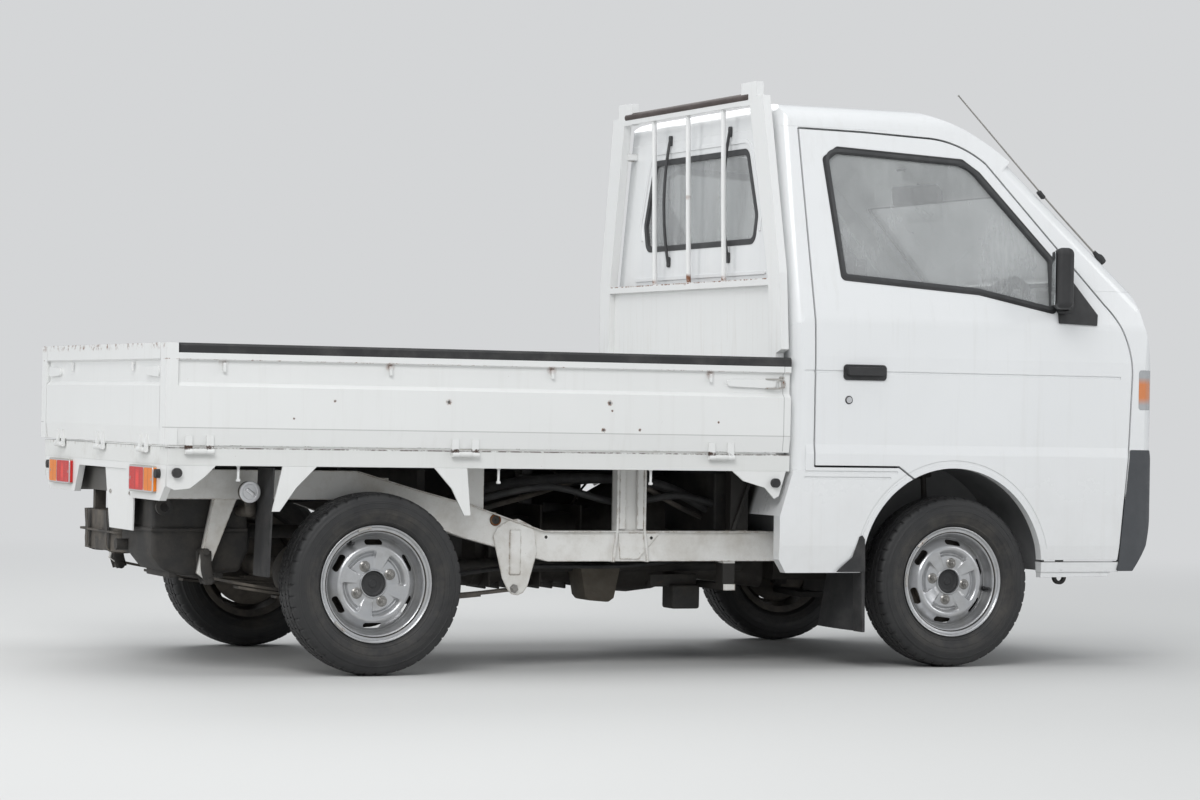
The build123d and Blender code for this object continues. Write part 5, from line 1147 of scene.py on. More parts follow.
def add_frame_details(name, side):
    """All that is welded or bolted to the outside of one frame rail."""
    face, outward = side * 0.5, (0, side, 0)
    shape = bmesh.new()
    low_line = [(x, z - 0.0045) for x, z in reversed(RAIL_TOP)]
    plate(shape, RAIL_TOP + low_line, face, side * 0.009, 0.0012)
    plate(shape, HANGER, face, side * 0.0045, 0.0015, 2)
    box(shape, (-0.495, face + side * 0.005, 0.352), (0.034, 0.01, 0.134), 0.0045)
    for x, lean in ((-0.162, 0.012), (-0.072, -0.012)):
        post_edge = [(x - 0.004, 0.604), (x + 0.004, 0.604), (x + 0.004, 0.424), (x + 0.004 - lean, 0.322),
                     (x - 0.004 - lean, 0.322), (x - 0.004, 0.424)]
        plate(shape, post_edge, side * 0.474, side * 0.036, 0.0012)
    for x in (-0.1565, -0.0975):
        plate(shape, rectangle(x, 0.603, x + 0.021, 0.421), side * 0.4995, side * 0.0095, 0.0015)
    gusset = [(-0.07, 0.418), (-0.017, 0.411), (-0.08, 0.34), (-0.086, 0.33), (-0.15, 0.33), (-0.158, 0.418)]
    plate(shape, gusset, face, side * 0.0035, 0.001)
    brace = [(0.222, 0.418), (0.234, 0.418), (0.3, 0.6), (0.288, 0.6)]
    plate(shape, brace, side * 0.474, side * 0.034, 0.0012)
    from_bmesh(f"rail_details_{name}", shape, CHASSIS, "root")

    bolt = bmesh.new()
    lathe(bolt, (-0.496, face + side * 0.0045, 0.243), outward, [
        (0, 0.01425), (0.0016, 0.01425), (0.0017, 0.0095), (0.00835, 0.0095), (0.00885, 0.0076), (0.00895, 0),
    ], 6)
    from_bmesh(f"rail_bolts_{name}", bolt, NUT, "root")

    holes = bmesh.new()
    hole_place = (-0.558, face, 0.448)
    lathe(holes, hole_place, outward, [
        (0, 0.0), (0.0006, 0.0115), (0.003, 0.0125), (0.0036, 0.0145), (0, 0.0165),
    ], 28)
    for x, z, out in ((-0.393, 0.397, 0), (-0.047, 0.395, 0.0035)):
        lathe(holes, (x, face + side * out, z), outward,
              [(0, 0.0), (0.0004, 0.0032), (0.0006, 0.0044), (0, 0.005)], 16)
    from_bmesh(f"rail_holes_{name}", holes, UNDER, "root")
    lip = bmesh.new()
    lathe(lip, hole_place, outward, [
        (-0.001, 0.012), (0.0042, 0.0128), (0.005, 0.015), (0.004, 0.0172), (-0.001, 0.0185),
    ], 32, looped=True)
    from_bmesh(f"rail_hole_lip_{name}", lip, RUSTY, "root", 50)


for side_name, side_sign in SIDES:
    add_frame_details(side_name, side_sign)


# Underside: gearbox and transfer case, air box, battery box, hoses and pipes that show between the rails

GEARBOX_SECTIONS = [
    # X, half width, low Z, high Z
    (0.15, 0.175, 0.215, 0.56), (0.06, 0.18, 0.205, 0.56), (-0.02, 0.15, 0.215, 0.52),
    (-0.06, 0.135, 0.225, 0.47), (-0.2, 0.125, 0.235, 0.45), (-0.33, 0.115, 0.245, 0.44),
    (-0.4, 0.12, 0.225, 0.455), (-0.47, 0.115, 0.225, 0.45), (-0.5, 0.08, 0.25, 0.42),
]
AIR_FILTER = [
    (0, 0.0), (0, 0.098), (0.016, 0.105), (0.1, 0.105), (0.106, 0.112), (0.116, 0.112), (0.122, 0.1),
    (0.18, 0.09), (0.2, 0),
]
UNDER_BOXES = [
    # middle, size, edge radius
    ((0.248, 0.3, 0.5), (0.08, 0.26, 0.19), 0.018), ((0.248, -0.13, 0.5), (0.08, 0.56, 0.19), 0.01),
    ((-0.03, 0.33, 0.49), (0.175, 0.1, 0.215), 0.016), ((-0.03, 0.33, 0.56), (0.185, 0.11, 0.014), 0.004),
    ((-0.3, 0.4, 0.49), (0.24, 0.03, 0.21), 0.008), ((-0.5, 0.3, 0.5), (0.2, 0.21, 0.2), 0.012),
    ((-0.76, 0.0, 0.5), (0.03, 0.8, 0.19), 0.008), ((0.15, -0.3, 0.205), (0.095, 0.08, 0.075), 0.01),
    ((0.12, -0.3, 0.255), (0.16, 0.02, 0.04), 0.004),
]
HOSES = [
    # radius, sides, points
    (0.03, 16, [(0.2, 0.2, 0.53), (0.1, 0.12, 0.575), (-0.05, 0.2, 0.56), (-0.16, 0.29, 0.53)]),
    (0.011, 12, [(0.3, -0.38, 0.47), (0.1, -0.4, 0.52), (-0.12, -0.41, 0.5), (-0.34, -0.38, 0.545),
                 (-0.58, -0.36, 0.5)]),
    (0.016, 12, [(0.3, -0.33, 0.44), (0.05, -0.36, 0.55), (-0.16, -0.3, 0.57), (-0.4, -0.2, 0.55),
                 (-0.6, -0.1, 0.48)]),
    (0.018, 12, [(0.28, 0.05, 0.6), (0.12, -0.1, 0.58), (-0.02, -0.22, 0.5), (-0.06, -0.26, 0.36)]),
    (0.006, 8, [(0.3, -0.3, 0.36), (0.0, -0.34, 0.34), (-0.3, -0.37, 0.36), (-0.56, -0.4, 0.4),
                (-0.76, -0.41, 0.46)]),
    (0.007, 8, [(0.3, -0.27, 0.33), (-0.05, -0.3, 0.3), (-0.42, -0.34, 0.3), (-0.74, -0.44, 0.27),
                (-0.9, -0.5, 0.26)]),
    (0.006, 8, [(0.3, 0.3, 0.38), (-0.1, 0.4, 0.36), (-0.5, 0.41, 0.4), (-0.8, 0.4, 0.5)]),
]
RODS = [
    # radius, sides, points
    (0.008, 10, [(-0.52, -0.3, 0.475), (-0.3, -0.2, 0.52), (-0.14, -0.13, 0.56)]),
    (0.008, 10, [(-0.02, -0.4, 0.545), (0.1, -0.36, 0.49), (0.23, -0.3, 0.445)]),
    (0.005, 8, [(-0.14, 0.05, 0.585), (-0.03, 0.16, 0.52), (0.05, 0.24, 0.465)]),
    (0.004, 8, [(-0.06, 0.1, 0.47), (0.0, 0.16, 0.52), (0.1, 0.24, 0.59)]),
]


def add_gearbox_case():
    """Gearbox and transfer case: a squarish casting with ribs round it and fins below."""
    case = bmesh.new()
    rings = []
    for x, half, low, high in GEARBOX_SECTIONS:
        middle, tall = (low + high) / 2, (high - low) / 2
        spots = [squarish(a, 0.55) for a in turns(28)]
        rings.append([(x, half * u, middle + tall * v) for u, v in spots])
    skin(case, rings)
    for x in (0.105, -0.02, -0.13, -0.265, -0.435):
        box(case, (x, 0, 0.355), (0.009, 0.305, 0.255), 0.004, segments=2)
    for k in range(7):
        box(case, (-0.15 - 0.045 * k, 0, 0.233), (0.007, 0.16, 0.03), 0.002, segments=1)
    from_bmesh("gearbox_case", case, ENGINE, "root", 30)


def add_under_boxes():
    """Air filter and small boxes between the rails."""
    boxes = bmesh.new()
    lathe(boxes, (-0.27, 0.3, 0.4), (0, 0, 1), AIR_FILTER, 40)
    for middle, size, bevel in UNDER_BOXES:
        box(boxes, middle, size, bevel)
    from_bmesh("underside_boxes", boxes, UNDER, "root")


def add_lines(name, lines, material):
    """Hoses or rods in one piece."""
    shape = bmesh.new()
    for radius, sides, points in lines:
        tube(shape, points, radius, sides)
    from_bmesh(name, shape, material, "root", 50)


def add_brown_cover():
    """Slanted brown cover low on the gearbox."""
    cover = bmesh.new()
    outline = [(-0.17, 0.3), (-0.03, 0.302), (-0.052, 0.196), (-0.07, 0.184), (-0.14, 0.19), (-0.152, 0.204)]
    plate(cover, outline, -0.245, 0.11, 0.008, 2)
    from_bmesh("gearbox_cover", cover, BROWN_COVER, "root")


def add_rear_bulk():
    """Dark guard plates round the tank and over the rear axle; they also close the view between the rails as
    painted shade.
    """
    # Painted shade: dark plates and a sheet over the rear axle darken the view between the rails.
    bulk = bmesh.new()
    outline = [(-1.594, 0.56), (-1.32, 0.56), (-1.3, 0.36), (-1.33, 0.292), (-1.5, 0.28), (-1.56, 0.296),
               (-1.596, 0.34)]
    plate(bulk, outline, -0.435, 0.26, 0.016, 3)
    plate(bulk, rectangle(-1.602, 0.42, -1.31, 0.408), -0.445, 0.28, 0.003)
    for x in (-1.54, -1.47, -1.4):
        plate(bulk, rectangle(x, 0.3, x + 0.024, 0.274), -0.425, 0.24, 0.005, 2)
    plate(bulk, [(-1.3, 0.6), (-0.78, 0.6), (-0.78, 0.48), (-1.3, 0.44)], 0.3, 0.012, 0.003)
    from_bmesh("tank_guard", bulk, UNDER, "root")


def add_tank_details():
    """Ribs pressed into the tank's low half, its drain plug and the strap ends."""
    shape = bmesh.new()
    for k in range(4):
        y = 0.01 + 0.1 * k
        outline = [(-1.578, y, 0.338), (-1.572, y, 0.329), (-1.362, y, 0.329), (-1.356, y, 0.338)]
        prism(shape, outline, (0, 0.034, 0), 0.004, 2)
    for y in (0.06, 0.28):
        round_tank = [(-1.6, 0.452), (-1.596, 0.4), (-1.585, 0.33), (-1.465, 0.3275), (-1.345, 0.33),
                      (-1.333, 0.4), (-1.34, 0.452)]
        strap(shape, [(x, y, z) for x, z in round_tank], 0.028, 0.0025, (0, 1, 0), 6)
    lathe(shape, (-1.465, 0.16, 0.331), (0, 0, -1), [
        (0, 0.0), (0, 0.02), (0.004, 0.02), (0.0041, 0.011), (0.01, 0.011), (0.0101, 0),
    ], 6)
    from_bmesh("tank_straps", shape, DIRTY_UNDER, "root", 40)
    cap = bmesh.new()
    lathe(cap, (-1.3555, -0.5955, 0.529), (0, -1, 0), [
        (0.0, 0.0315), (0.0035, 0.0315), (0.005, 0.03), (0.005, 0.0225), (0.0036, 0.021), (0.0036, 0.0),
    ], 40)
    box(cap, (-1.3555, -0.601, 0.529), (0.03, 0.008, 0.011), 0.003, Matrix.Rotation(radians(35), 3, "Y"))
    from_bmesh("filler_cap", cap, BRIGHT, "root", 40)


def add_shackles(name, side):
    """Spring shackles and bump rubbers behind the rear wheels."""
    shape = bmesh.new()
    for y in (0.447, 0.493):
        link = [(-1.452, side * y, 0.355), (-1.448, side * y, 0.3), (-1.437, side * y, 0.262)]
        tube(shape, link, 0.017, 14, 6, 0.24, (1, 0, 0))
    for x, z in ((-1.452, 0.352), (-1.44, 0.268)):
        lathe(shape, (x, side * 0.44, z), (0, side, 0), [
            (0, 0.0), (0, 0.011), (0.06, 0.011), (0.0605, 0.008), (0.066, 0.008), (0.0661, 0),
        ], 14)
    lathe(shape, (REAR_AXLE_X, side * 0.47, 0.5), (0, 0, -1), [
        (0, 0.03), (0.012, 0.03), (0.04, 0.02), (0.058, 0.012), (0.06, 0.0),
    ], 20)
    from_bmesh(f"spring_shackle_{name}", shape, UNDER, "root", 40)


add_gearbox_case()
add_under_boxes()
add_lines("underside_hoses", HOSES, RUBBER)
add_lines("underside_rods", RODS, DIRTY_UNDER)
add_brown_cover()
add_rear_bulk()
add_tank_details()
for side_name, side_sign in SIDES:
    add_shackles(side_name, side_sign)


# Mud flaps: thin rubber sheets with a folded top, the front ones slanted behind the wheels

def flap(shape, low_line, high_line, thickness, bow):
    """A sheet between two horizontal lines given by their end points, bowed backwards."""
    rows, columns = 12, 8
    loops = []
    for r in range(rows + 1):
        down = r / rows
        front = []
        for c in range(columns + 1):
            along = c / columns
            low = Vector(low_line[0]).lerp(Vector(low_line[1]), along)
            high = Vector(high_line[0]).lerp(Vector(high_line[1]), along)
            spot = high.lerp(low, down)
            spot.x -= bow * sin(pi * 0.5 * down) * sin(pi * along)
            front.append(spot)
        back = [spot - Vector((thickness, 0, 0)) for spot in reversed(front)]
        loops.append(front + back)
    skin(shape, loops)


def add_flaps(name, side):
    """The front flap with its corner piece and edge, and the rear flap."""
    front = bmesh.new()
    flap(front, ((0.545, side * 0.478, 0.122), (0.606, side * 0.655, 0.114)),
         ((0.6, side * 0.478, 0.44), (0.607, side * 0.648, 0.44)), 0.005, 0.01)
    corner = [(0.586, 0.3), (0.486, 0.3), (0.496, 0.31), (0.54, 0.345), (0.556, 0.385), (0.564, 0.408),
              (0.574, 0.412), (0.583, 0.4)]
    plate(front, corner, side * 0.6978, side * 0.0035, 0.001)
    edge = [(0.59, 0.115), (0.578, 0.115), (0.574, 0.3), (0.576, 0.4), (0.584, 0.4)]
    plate(front, edge, side * 0.64, side * 0.058, 0.002)
    made = from_bmesh(f"front_flap_{name}", front, RUBBER, "root", 40)
    rear = bmesh.new()
    flap(rear, ((-1.316, side * 0.53, 0.288), (-1.316, side * 0.672, 0.288)),
         ((-1.306, side * 0.53, 0.6), (-1.306, side * 0.672, 0.6)), 0.005, 0.006)
    from_bmesh(f"rear_flap_{name}", rear, RUBBER, "root", 40)
    return made


flaps = [add_flaps(side_name, side_sign) for side_name, side_sign in SIDES]
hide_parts("mud_flaps")


# Cab fittings: key cylinders, mirror glass, aerial, wipers, inner mirror, belts

def turn_head(shape, points, side):
    """Turn points round the middle of the mirror head, towards the driver."""
    bmesh.ops.rotate(shape, verts=points, cent=(1.2355, side * 0.7595, 1.218),
                     matrix=Matrix.Rotation(radians(side * 25), 3, "Z"))


def turn_mirror(name, side):
    """The door's trim with its mirror head turned."""
    trim = bpy.data.objects[f"door_trim_{name}"].data
    shape = bmesh.new()
    shape.from_mesh(trim)
    head = [v for v in shape.verts if 1.2 < v.co.x < 1.27 and abs(v.co.y) > 0.7005 and 1.118 < v.co.z < 1.318]
    turn_head(shape, head, side)
    mesh = new_mesh(f"door_trim_turned_{name}", shape, *trim.materials)
    made = settle(add_object(mesh.name, mesh), f"door_{name}")
    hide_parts(f"door_trim_{name}")


def add_door_fittings(name, side):
    """Key cylinder with its rim, and the mirror with its glass."""
    body = f"door_{name}"
    x, z = 0.5225, 0.826
    place = (x, side * 0.6915, z)
    key = bmesh.new()
    lathe(key, place, (0, side, 0), [(0, 0.0128), (0.0022, 0.0128), (0.0032, 0.0116), (0.0033, 0.0)], 32)
    from_bmesh(f"door_key_rim_{name}", key, PLASTIC, body, 40)
    barrel = bmesh.new()
    lathe(barrel, place, (0, side, 0), [
        (0.003, 0.0098), (0.0048, 0.0094), (0.005, 0.0075), (0.0044, 0.007), (0.0044, 0.0),
    ], 32)
    box(barrel, (x, side * 0.696, z), (0.0018, 0.001, 0.0085), 0.0003, segments=1)
    from_bmesh(f"door_key_{name}", barrel, BRIGHT, body, 40)
    turn_mirror(name, side)
    glass_sheet = bmesh.new()
    outline = [(1.2062, side * 0.7595 + u, 1.218 + v) for u, v in rounded_block(0.033, 0.068, 0.016, 6)]
    prism(glass_sheet, outline, (-0.0022, 0, 0), 0.0007, 1)
    turn_head(glass_sheet, glass_sheet.verts, side)
    from_bmesh(f"mirror_glass_{name}", glass_sheet, MIRROR, body, 30)


def add_aerial():
    """Telescopic aerial along the right pillar."""
    mast = bmesh.new()
    rod = [(1.462, -0.6, 1.295), (1.258, -0.58, 1.493), (0.962, -0.562, 1.789)]
    tube(mast, rod, (0.0034, 0.0024), 10, 12)
    lathe(mast, (0.9605, -0.562, 1.7905), (-0.68, 0, 0.73), [
        (-0.003, 0.0), (-0.002, 0.0024), (0.0, 0.0032), (0.002, 0.0024), (0.003, 0.0),
    ], 12)
    from_bmesh("aerial_mast", mast, NUT, "root", 50)
    boot = bmesh.new()
    lathe(boot, (1.468, -0.6, 1.289), (-0.69, 0, 0.72), [
        (-0.012, 0.0), (-0.012, 0.013), (0.0, 0.015), (0.012, 0.014), (0.022, 0.008), (0.036, 0.006),
        (0.0361, 0),
    ], 24)
    box(boot, (1.256, -0.58, 1.49), (0.012, 0.018, 0.03), 0.004, Matrix.Rotation(radians(-44), 3, "Y"))
    from_bmesh("aerial_base", boot, PLASTIC, "root", 50)


SCREEN_FOOT = Vector((1.548, 0.0, 1.198))
SCREEN_UP = Vector((-0.368, 0.0, 0.35)).normalized()
SCREEN_OUT = Vector((0.35, 0.0, 0.368)).normalized()


def on_screen(up, y, out):
    """A point by its distance up the windscreen, its Y and its height off the glass."""
    return SCREEN_FOOT + SCREEN_UP * up + Vector((0, y, 0)) + SCREEN_OUT * out


def add_wipers():
    """Two arms with their blades; the rubber edge touches the glass."""
    arms = bmesh.new()
    for pivot, tip in ((0.36, -0.06), (-0.1, -0.48)):
        middle = (pivot + tip) / 2
        lathe(arms, on_screen(0.022, pivot, -0.004), SCREEN_OUT,
              [(0, 0.016), (0.012, 0.015), (0.02, 0.009), (0.0201, 0)], 20)
        arm = [on_screen(*place) for place in
               ((0.022, pivot, 0.012), (0.045, pivot - 0.1, 0.02), (0.06, middle, 0.019))]
        tube(arms, arm, (0.0075, 0.0045), 10, 8, 0.55, tuple(SCREEN_UP))
        tube(arms, [on_screen(0.06, middle + 0.01, 0.017), on_screen(0.06, middle - 0.02, 0.015)], 0.005, 8)
        for out, radius, sides in ((0.0095, 0.0042, 8), (0.0045, 0.0022, 6)):
            shares = [k / 6 for k in range(7)]
            line = [on_screen(0.052 + 0.01 * t, pivot - 0.03 + (tip - pivot) * t, out) for t in shares]
            tube(arms, line, radius, sides, 6)
    from_bmesh("wipers", arms, PLASTIC, "root", 45)


def add_inner_mirror():
    """Mirror inside the cab, on its stalk."""
    shape = bmesh.new()
    turn = Matrix.Rotation(radians(12), 3, "Z") @ Matrix.Rotation(radians(-8), 3, "Y")
    box(shape, (1.128, 0.0, 1.513), (0.026, 0.235, 0.066), 0.011, turn, 4)
    stem = [(1.136, 0.0, 1.528), (1.134, 0.0, 1.552), (1.108, 0.0, 1.58), (1.076, 0.0, 1.596)]
    tube(shape, stem, 0.009, 12, 6, 0.6, (0, 1, 0))
    foot = [(-0.004, 0), (-0.004, 0.022), (0.004, 0.026), (0.005, 0)]
    lathe(shape, (1.076, 0.0, 1.596), (-0.2, 0, 1), foot, 24)
    from_bmesh("inner_mirror", shape, PLASTIC, "root", 45)


def add_belts():
    """Seat belts that hang from the pillars."""
    belts = bmesh.new()
    for side in (-1, 1):
        to_floor = [(0.455, side * 0.56, 1.48), (0.48, side * 0.556, 1.33), (0.56, side * 0.556, 1.06),
                    (0.62, side * 0.56, 0.86)]
        over_seat = [(0.455, side * 0.552, 1.478), (0.54, side * 0.54, 1.34), (0.7, side * 0.5, 1.15)]
        strap(belts, to_floor, 0.048, 0.0016, (1, 0, 0.3))
        strap(belts, over_seat, 0.046, 0.0016, (1, 0, 0.3))
    from_bmesh("seat_belts", belts, WEBBING, "root", 40)
    guides = bmesh.new()
    for side in (-1, 1):
        box(guides, (0.455, side * 0.562, 1.485), (0.062, 0.018, 0.036), 0.006)
        box(guides, (0.64, side * 0.53, 1.235), (0.04, 0.012, 0.06), 0.005)
        box(guides, (0.7, side * 0.498, 1.15), (0.03, 0.01, 0.055), 0.004)
    from_bmesh("belt_guides", guides, PLASTIC, "root", 45)


for side_name, side_sign in SIDES:
    add_door_fittings(side_name, side_sign)
add_aerial()
add_wipers()
add_inner_mirror()
add_belts()


# Seats: stitched vinyl cushions with crowned faces, piping round the edges and pressed pleats

SEAT_Y = 0.325


def cushion(name, place, size, crown, lean, pleats):
    """A crowned cushion: a rounded block with its long faces swelling out and grooves between pleats."""
    turn = Matrix.Rotation(radians(lean), 3, "Y")
    long, wide, thick = size
    steps, rows = 48, 22
    rings = []
    for row in range(rows + 1):
        v = -pi / 2 + pi * row / rows
        level = squarish(v, 0.55)[1]
        spread = abs(cos(v)) ** 0.42 + 1e-3
        ring = []
        for a in turns(steps):
            x, y = [value * spread for value in squarish(a, 0.42)]
            swell = max(0, 1 - x * x) * max(0, 1 - y * y)
            groove = 0.0
            if pleats:
                across = (y * 0.5 + 0.5) * pleats
                groove = 0.006 * exp(-((across - round(across)) / 0.07) ** 2) * swell ** 0.3
            z = level * (thick / 2 + crown * swell - groove)
            ring.append(Vector(place) + turn @ Vector((x * long / 2, y * wide / 2, z)))
        rings.append(ring)
    shape = bmesh.new()
    skin(shape, rings)
    made = from_bmesh(name, shape, VINYL, "root", 60)
    smooth = made.modifiers.new("smooth", "SUBSURF")
    smooth.levels = smooth.render_levels = 1

    outline = []
    for a in turns(steps):
        x, y = [value * 0.985 for value in squarish(a, 0.42)]
        outline.append(Vector(place) + turn @ Vector((x * long / 2, y * wide / 2, thick * 0.3)))
    piping = bmesh.new()
    bead(piping, outline, turn @ Vector((0, 0, 1)), 0.0045, 0.0045)
    from_bmesh(name + "_piping", piping, PIPING, "root", 60)
    return made


def add_seats():
    """Cushions and their piping, for both seats."""
    for name, side in SIDES:
        y = side * SEAT_Y
        cushion(f"seat_base_{name}", (0.842, y, 0.735), (0.4, 0.46, 0.135), 0.016, -5, 5)
        cushion(f"seat_back_{name}", (0.585, y, 0.96), (0.43, 0.45, 0.115), 0.014, -76, 5)
        cushion(f"head_rest_{name}", (0.52, y, 1.22), (0.13, 0.24, 0.085), 0.008, -76, 0)
    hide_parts("seats")


def add_seat_frames():
    """Base pans with their runners, head rest posts and the recliner bars."""
    frames = bmesh.new()
    for side in (-1, 1):
        y = side * SEAT_Y
        box(frames, (0.842, y, 0.672), (0.38, 0.42, 0.02), 0.004)
        for x in (0.7, 0.98):
            box(frames, (x, y, 0.664), (0.03, 0.4, 0.016), 0.003)
        for shift in (-0.045, 0.045):
            tube(frames, [(0.553, y + shift, 1.15), (0.53, y + shift, 1.215)], 0.006, 10)
        for shift in (-0.228, 0.228):
            bar = [(0.7, y + shift, 0.69), (0.64, y + shift, 0.77), (0.612, y + shift, 0.86)]
            tube(frames, bar, 0.012, 10, 8, 0.4, (1, 0, 0))
    from_bmesh("seat_frames", frames, UNDER, "root")


add_seats()
add_seat_frames()


# Lips of the lamps

NOSE_LEAN = 0.104
LAMP_FIELDS = [
    # distance of the middle from the truck's middle, width
    (0.4135, 0.155), (0.535, 0.096),
]


def add_lamp_rims():
    """Bright lips round the fields of the tail lamps."""
    rims = bmesh.new()
    for side in (-1, 1):
        for y, wide in LAMP_FIELDS:
            corners = rounded_block(wide / 2 - 0.008, 0.0285, 0.006, 3)
            outline = [Vector((-1.6392, side * y + u, TAIL_LAMP_Z + v)) for u, v in corners]
            bead(rims, outline, Vector((1, 0, 0)), 0.0022, 0.0022)
    from_bmesh("tail_lamp_rims", rims, BRIGHT, "root", 50)


def add_headlamp_gaskets():
    """Dark gaskets round the headlamps, which lean back with the nose."""
    low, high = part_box("headlamps")
    middle, tall = (low.z + high.z) / 2, (high.z - low.z) / 2
    shape = bmesh.new()
    for side in (-1, 1):
        outline = []
        for u, v in rounded_block(0.107, tall - 0.018, 0.018, 4):
            y, z = 0.47 + u, middle + v
            outline.append(Vector((high.x + 0.001 - NOSE_LEAN * (z - low.z), side * y, z)))
        bead(shape, outline, Vector((1, 0, NOSE_LEAN)), 0.003, 0.0036)
    from_bmesh("headlamp_gaskets", shape, SEAL, "root", 50)


add_lamp_rims()
add_headlamp_gaskets()


# Door window seals: a rubber band with rounded corners round each door glass

DOOR_LOW_Z, DOOR_HIGH_Z = 1.15, 1.63
GLASS_Y, GLASS_Z = 0.62937, 1.32017
GLASS_LEAN = 0.19238
WINDOW_CORNERS = [
    # X, Z, corner radius
    (0.481, 1.5965, 0.042), (0.9805, 1.5745, 0.12), (1.2565, 1.277, 0.03), (1.2495, 1.1225, 0.014),
    (0.987, 1.1742, 0.16), (0.518, 1.2055, 0.016),
]


def rounded_outline(corners, steps=8):
    """Flat outline with each corner turned into an arc."""
    path = []
    for k, (x, z, radius) in enumerate(corners):
        spot = Vector((x, z))
        before = (Vector(corners[k - 1][:2]) - spot)
        after = (Vector(corners[(k + 1) % len(corners)][:2]) - spot)
        back, on = before.normalized(), after.normalized()
        half = acos(max(-1, min(1, back.dot(on)))) / 2
        reach = min(radius / tan(half), 0.45 * before.length, 0.45 * after.length)
        start, end = spot + back * reach, spot + on * reach
        for step in range(steps + 1):
            t = step / steps
            path.append(start * (1 - t) ** 2 + spot * 2 * t * (1 - t) + end * t * t)
    return path


def glass_face(z):
    """Distance of the door glass from the truck's middle; it leans in towards the top."""
    return GLASS_Y - GLASS_LEAN * (z - GLASS_Z)


def door_faces(side):
    """Distance of the door panel's outer face from the middle, above and below the window."""
    door = bpy.data.objects["door_left" if side > 0 else "door_right"]
    faces = []
    for z in (DOOR_HIGH_Z, DOOR_LOW_Z):
        found, place, _, _ = door.ray_cast(Vector((0.75, side * 1.2, z)), Vector((0, -side, 0)))
        faces.append(abs(place.y) if found else glass_face(z) + 0.025)
    return faces


def add_window_seal(name, side):
    """Band round one door's window, from the glass out to the panel."""
    path = rounded_outline(WINDOW_CORNERS)
    upper, lower = door_faces(side)
    rings = []
    for k, spot in enumerate(path):
        ahead = (path[(k + 1) % len(path)] - path[k - 1]).normalized()
        out = Vector((-ahead.y, ahead.x))
        face = lower + (upper - lower) * (spot.y - DOOR_LOW_Z) / (DOOR_HIGH_Z - DOOR_LOW_Z)
        inner = glass_face(spot.y) + 0.0008
        section = [
            (-0.0085, inner), (-0.0085, face - 0.004), (-0.006, face + 0.001), (-0.001, face + 0.0024),
            (0.005, face + 0.002), (0.0078, face + 0.0004), (0.0078, face - 0.001), (-0.003, inner),
        ]
        rings.append([(spot.x + out.x * across, side * level, spot.y + out.y * across)
                      for across, level in section])
    shape = bmesh.new()
    skin(shape, rings, looped=True)
    from_bmesh(f"window_seal_{name}", shape, SEAL, f"door_{name}", 40)


for side_name, side_sign in SIDES:
    add_window_seal(side_name, side_sign)


# Floor, light and camera

FLOOR_TONE = (0.6, 0.6, 0.59)
BACKGROUND_TONE = (0.66, 0.67, 0.68)
FLOOR_REACH = 90.0
LAMPS = [
    # name, place, target, size, power in watts
    ("key", (-5.0, -7.0, 6.5), (0, 0, 0.7), (5.0, 4.0), 470),
    ("rear", (-8.0, 0.8, 3.2), (-1.0, 0, 0.9), (4.0, 3.0), 150),
    ("fill", (7.0, -5.0, 3.5), (0, 0, 0.8), (4.0, 4.0), 130),
    ("back", (1.0, 7.5, 6.0), (0, 0, 0.8), (6.0, 4.0), 200),
    ("top", (0, 0, 8.0), (0, 0.01, 0), (6.0, 6.0), 180),
]


def add_floor():
    """A wide pale floor that turns into the plain background far from the object."""
    mesh = bpy.data.meshes.new("floor")
    corners = [(x * FLOOR_REACH, y * FLOOR_REACH, 0) for x, y in ((-1, -1), (1, -1), (1, 1), (-1, 1))]
    mesh.from_pydata(corners, [], [(0, 1, 2, 3)])
    finish = Finish("floor", 0.7)
    finish.base(FLOOR_TONE)
    far = finish.band(finish.measure("LENGTH", finish.place), 2.6, 9.0, curve="SMOOTHSTEP")
    glow = finish.node("ShaderNodeEmission", {"Color": BACKGROUND_TONE})
    finish.feed(finish.output.inputs["Surface"], finish.blend(far, finish.shader, glow).outputs[0])
    mesh.materials.append(finish.material)
    add_object("floor", mesh)


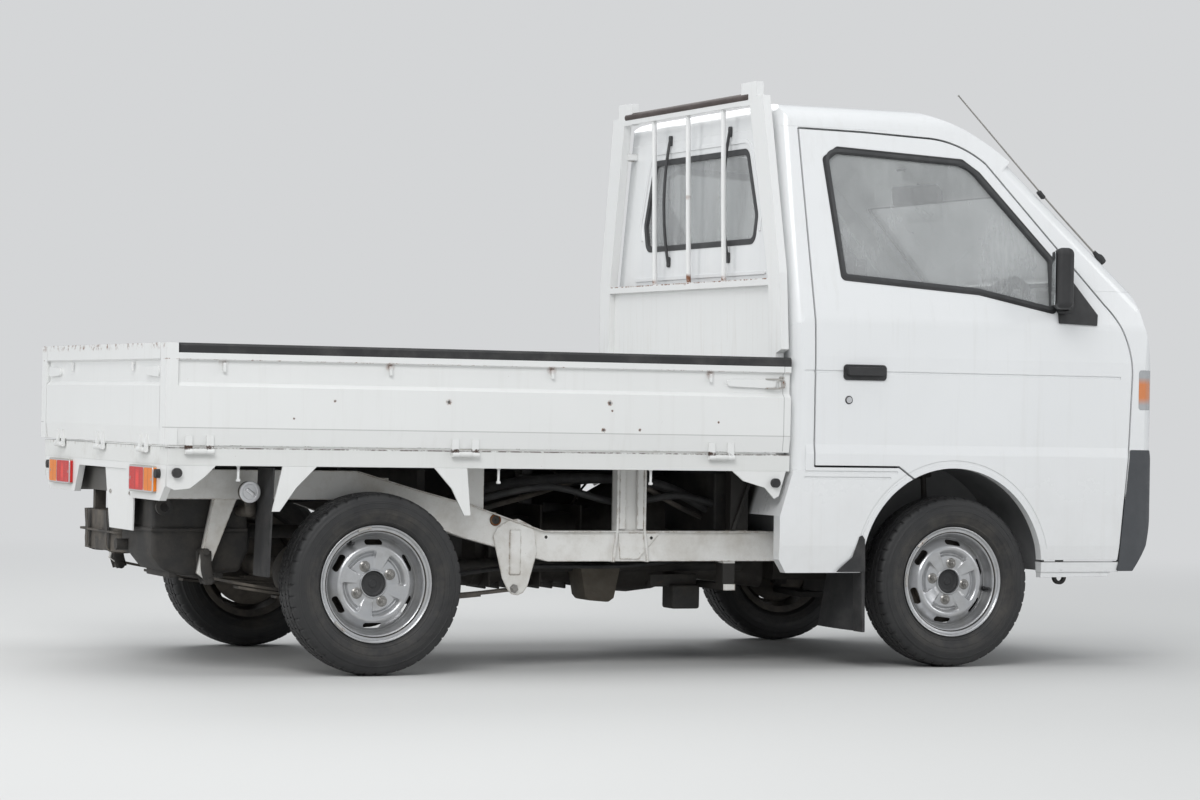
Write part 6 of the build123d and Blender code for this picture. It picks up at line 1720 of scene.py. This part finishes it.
def add_world():
    """Even sky light, with the plain background shown to the camera."""
    world = bpy.data.worlds.new("studio")
    bpy.context.scene.world = world
    world.use_nodes = True
    tree = world.node_tree
    tree.nodes.clear()
    out = tree.nodes.new("ShaderNodeOutputWorld")
    seen = tree.nodes.new("ShaderNodeBackground")
    seen.inputs["Color"].default_value = colour(BACKGROUND_TONE)
    light = tree.nodes.new("ShaderNodeBackground")
    light.inputs["Color"].default_value = (0.92, 0.96, 1.0, 1)
    light.inputs["Strength"].default_value = 0.5
    path = tree.nodes.new("ShaderNodeLightPath")
    mix = tree.nodes.new("ShaderNodeMixShader")
    tree.links.new(path.outputs["Is Camera Ray"], mix.inputs[0])
    tree.links.new(light.outputs[0], mix.inputs[1])
    tree.links.new(seen.outputs[0], mix.inputs[2])
    tree.links.new(mix.outputs[0], out.inputs[0])


def add_area(name, place, target, size, power):
    """A soft rectangular lamp that looks at a point."""
    lamp = bpy.data.lights.new(name, "AREA")
    lamp.shape = "RECTANGLE"
    lamp.size, lamp.size_y = size
    lamp.energy = power
    made = add_object(name, lamp)
    made.location = place
    made.rotation_euler = (Vector(target) - Vector(place)).to_track_quat("-Z", "Y").to_euler()


def add_camera():
    """Camera of the photograph: place, heading, tilt and roll fitted to the truck's known sizes."""
    place = Vector((-4.338, -9.9283, 0.7941))
    heading, tilt, roll = radians(23.572), radians(0.099), radians(1.047)
    ahead = Vector((sin(heading) * cos(tilt), cos(heading) * cos(tilt), sin(tilt)))
    right = ahead.cross(Vector((0, 0, 1))).normalized()
    up = right.cross(ahead)
    right_rolled = right * cos(roll) + up * sin(roll)
    up_rolled = up * cos(roll) - right * sin(roll)
    camera = bpy.data.cameras.new("camera")
    camera.lens = 102.04
    camera.sensor_width = 36.0
    made = add_object("camera", camera)
    turned = Matrix((right_rolled, up_rolled, -ahead)).transposed()
    made.matrix_world = Matrix.Translation(place) @ turned.to_4x4()
    bpy.context.scene.camera = made


add_floor()
add_world()
for lamp_values in LAMPS:
    add_area(*lamp_values)
add_camera()
bpy.context.scene.view_settings.view_transform = "Standard"
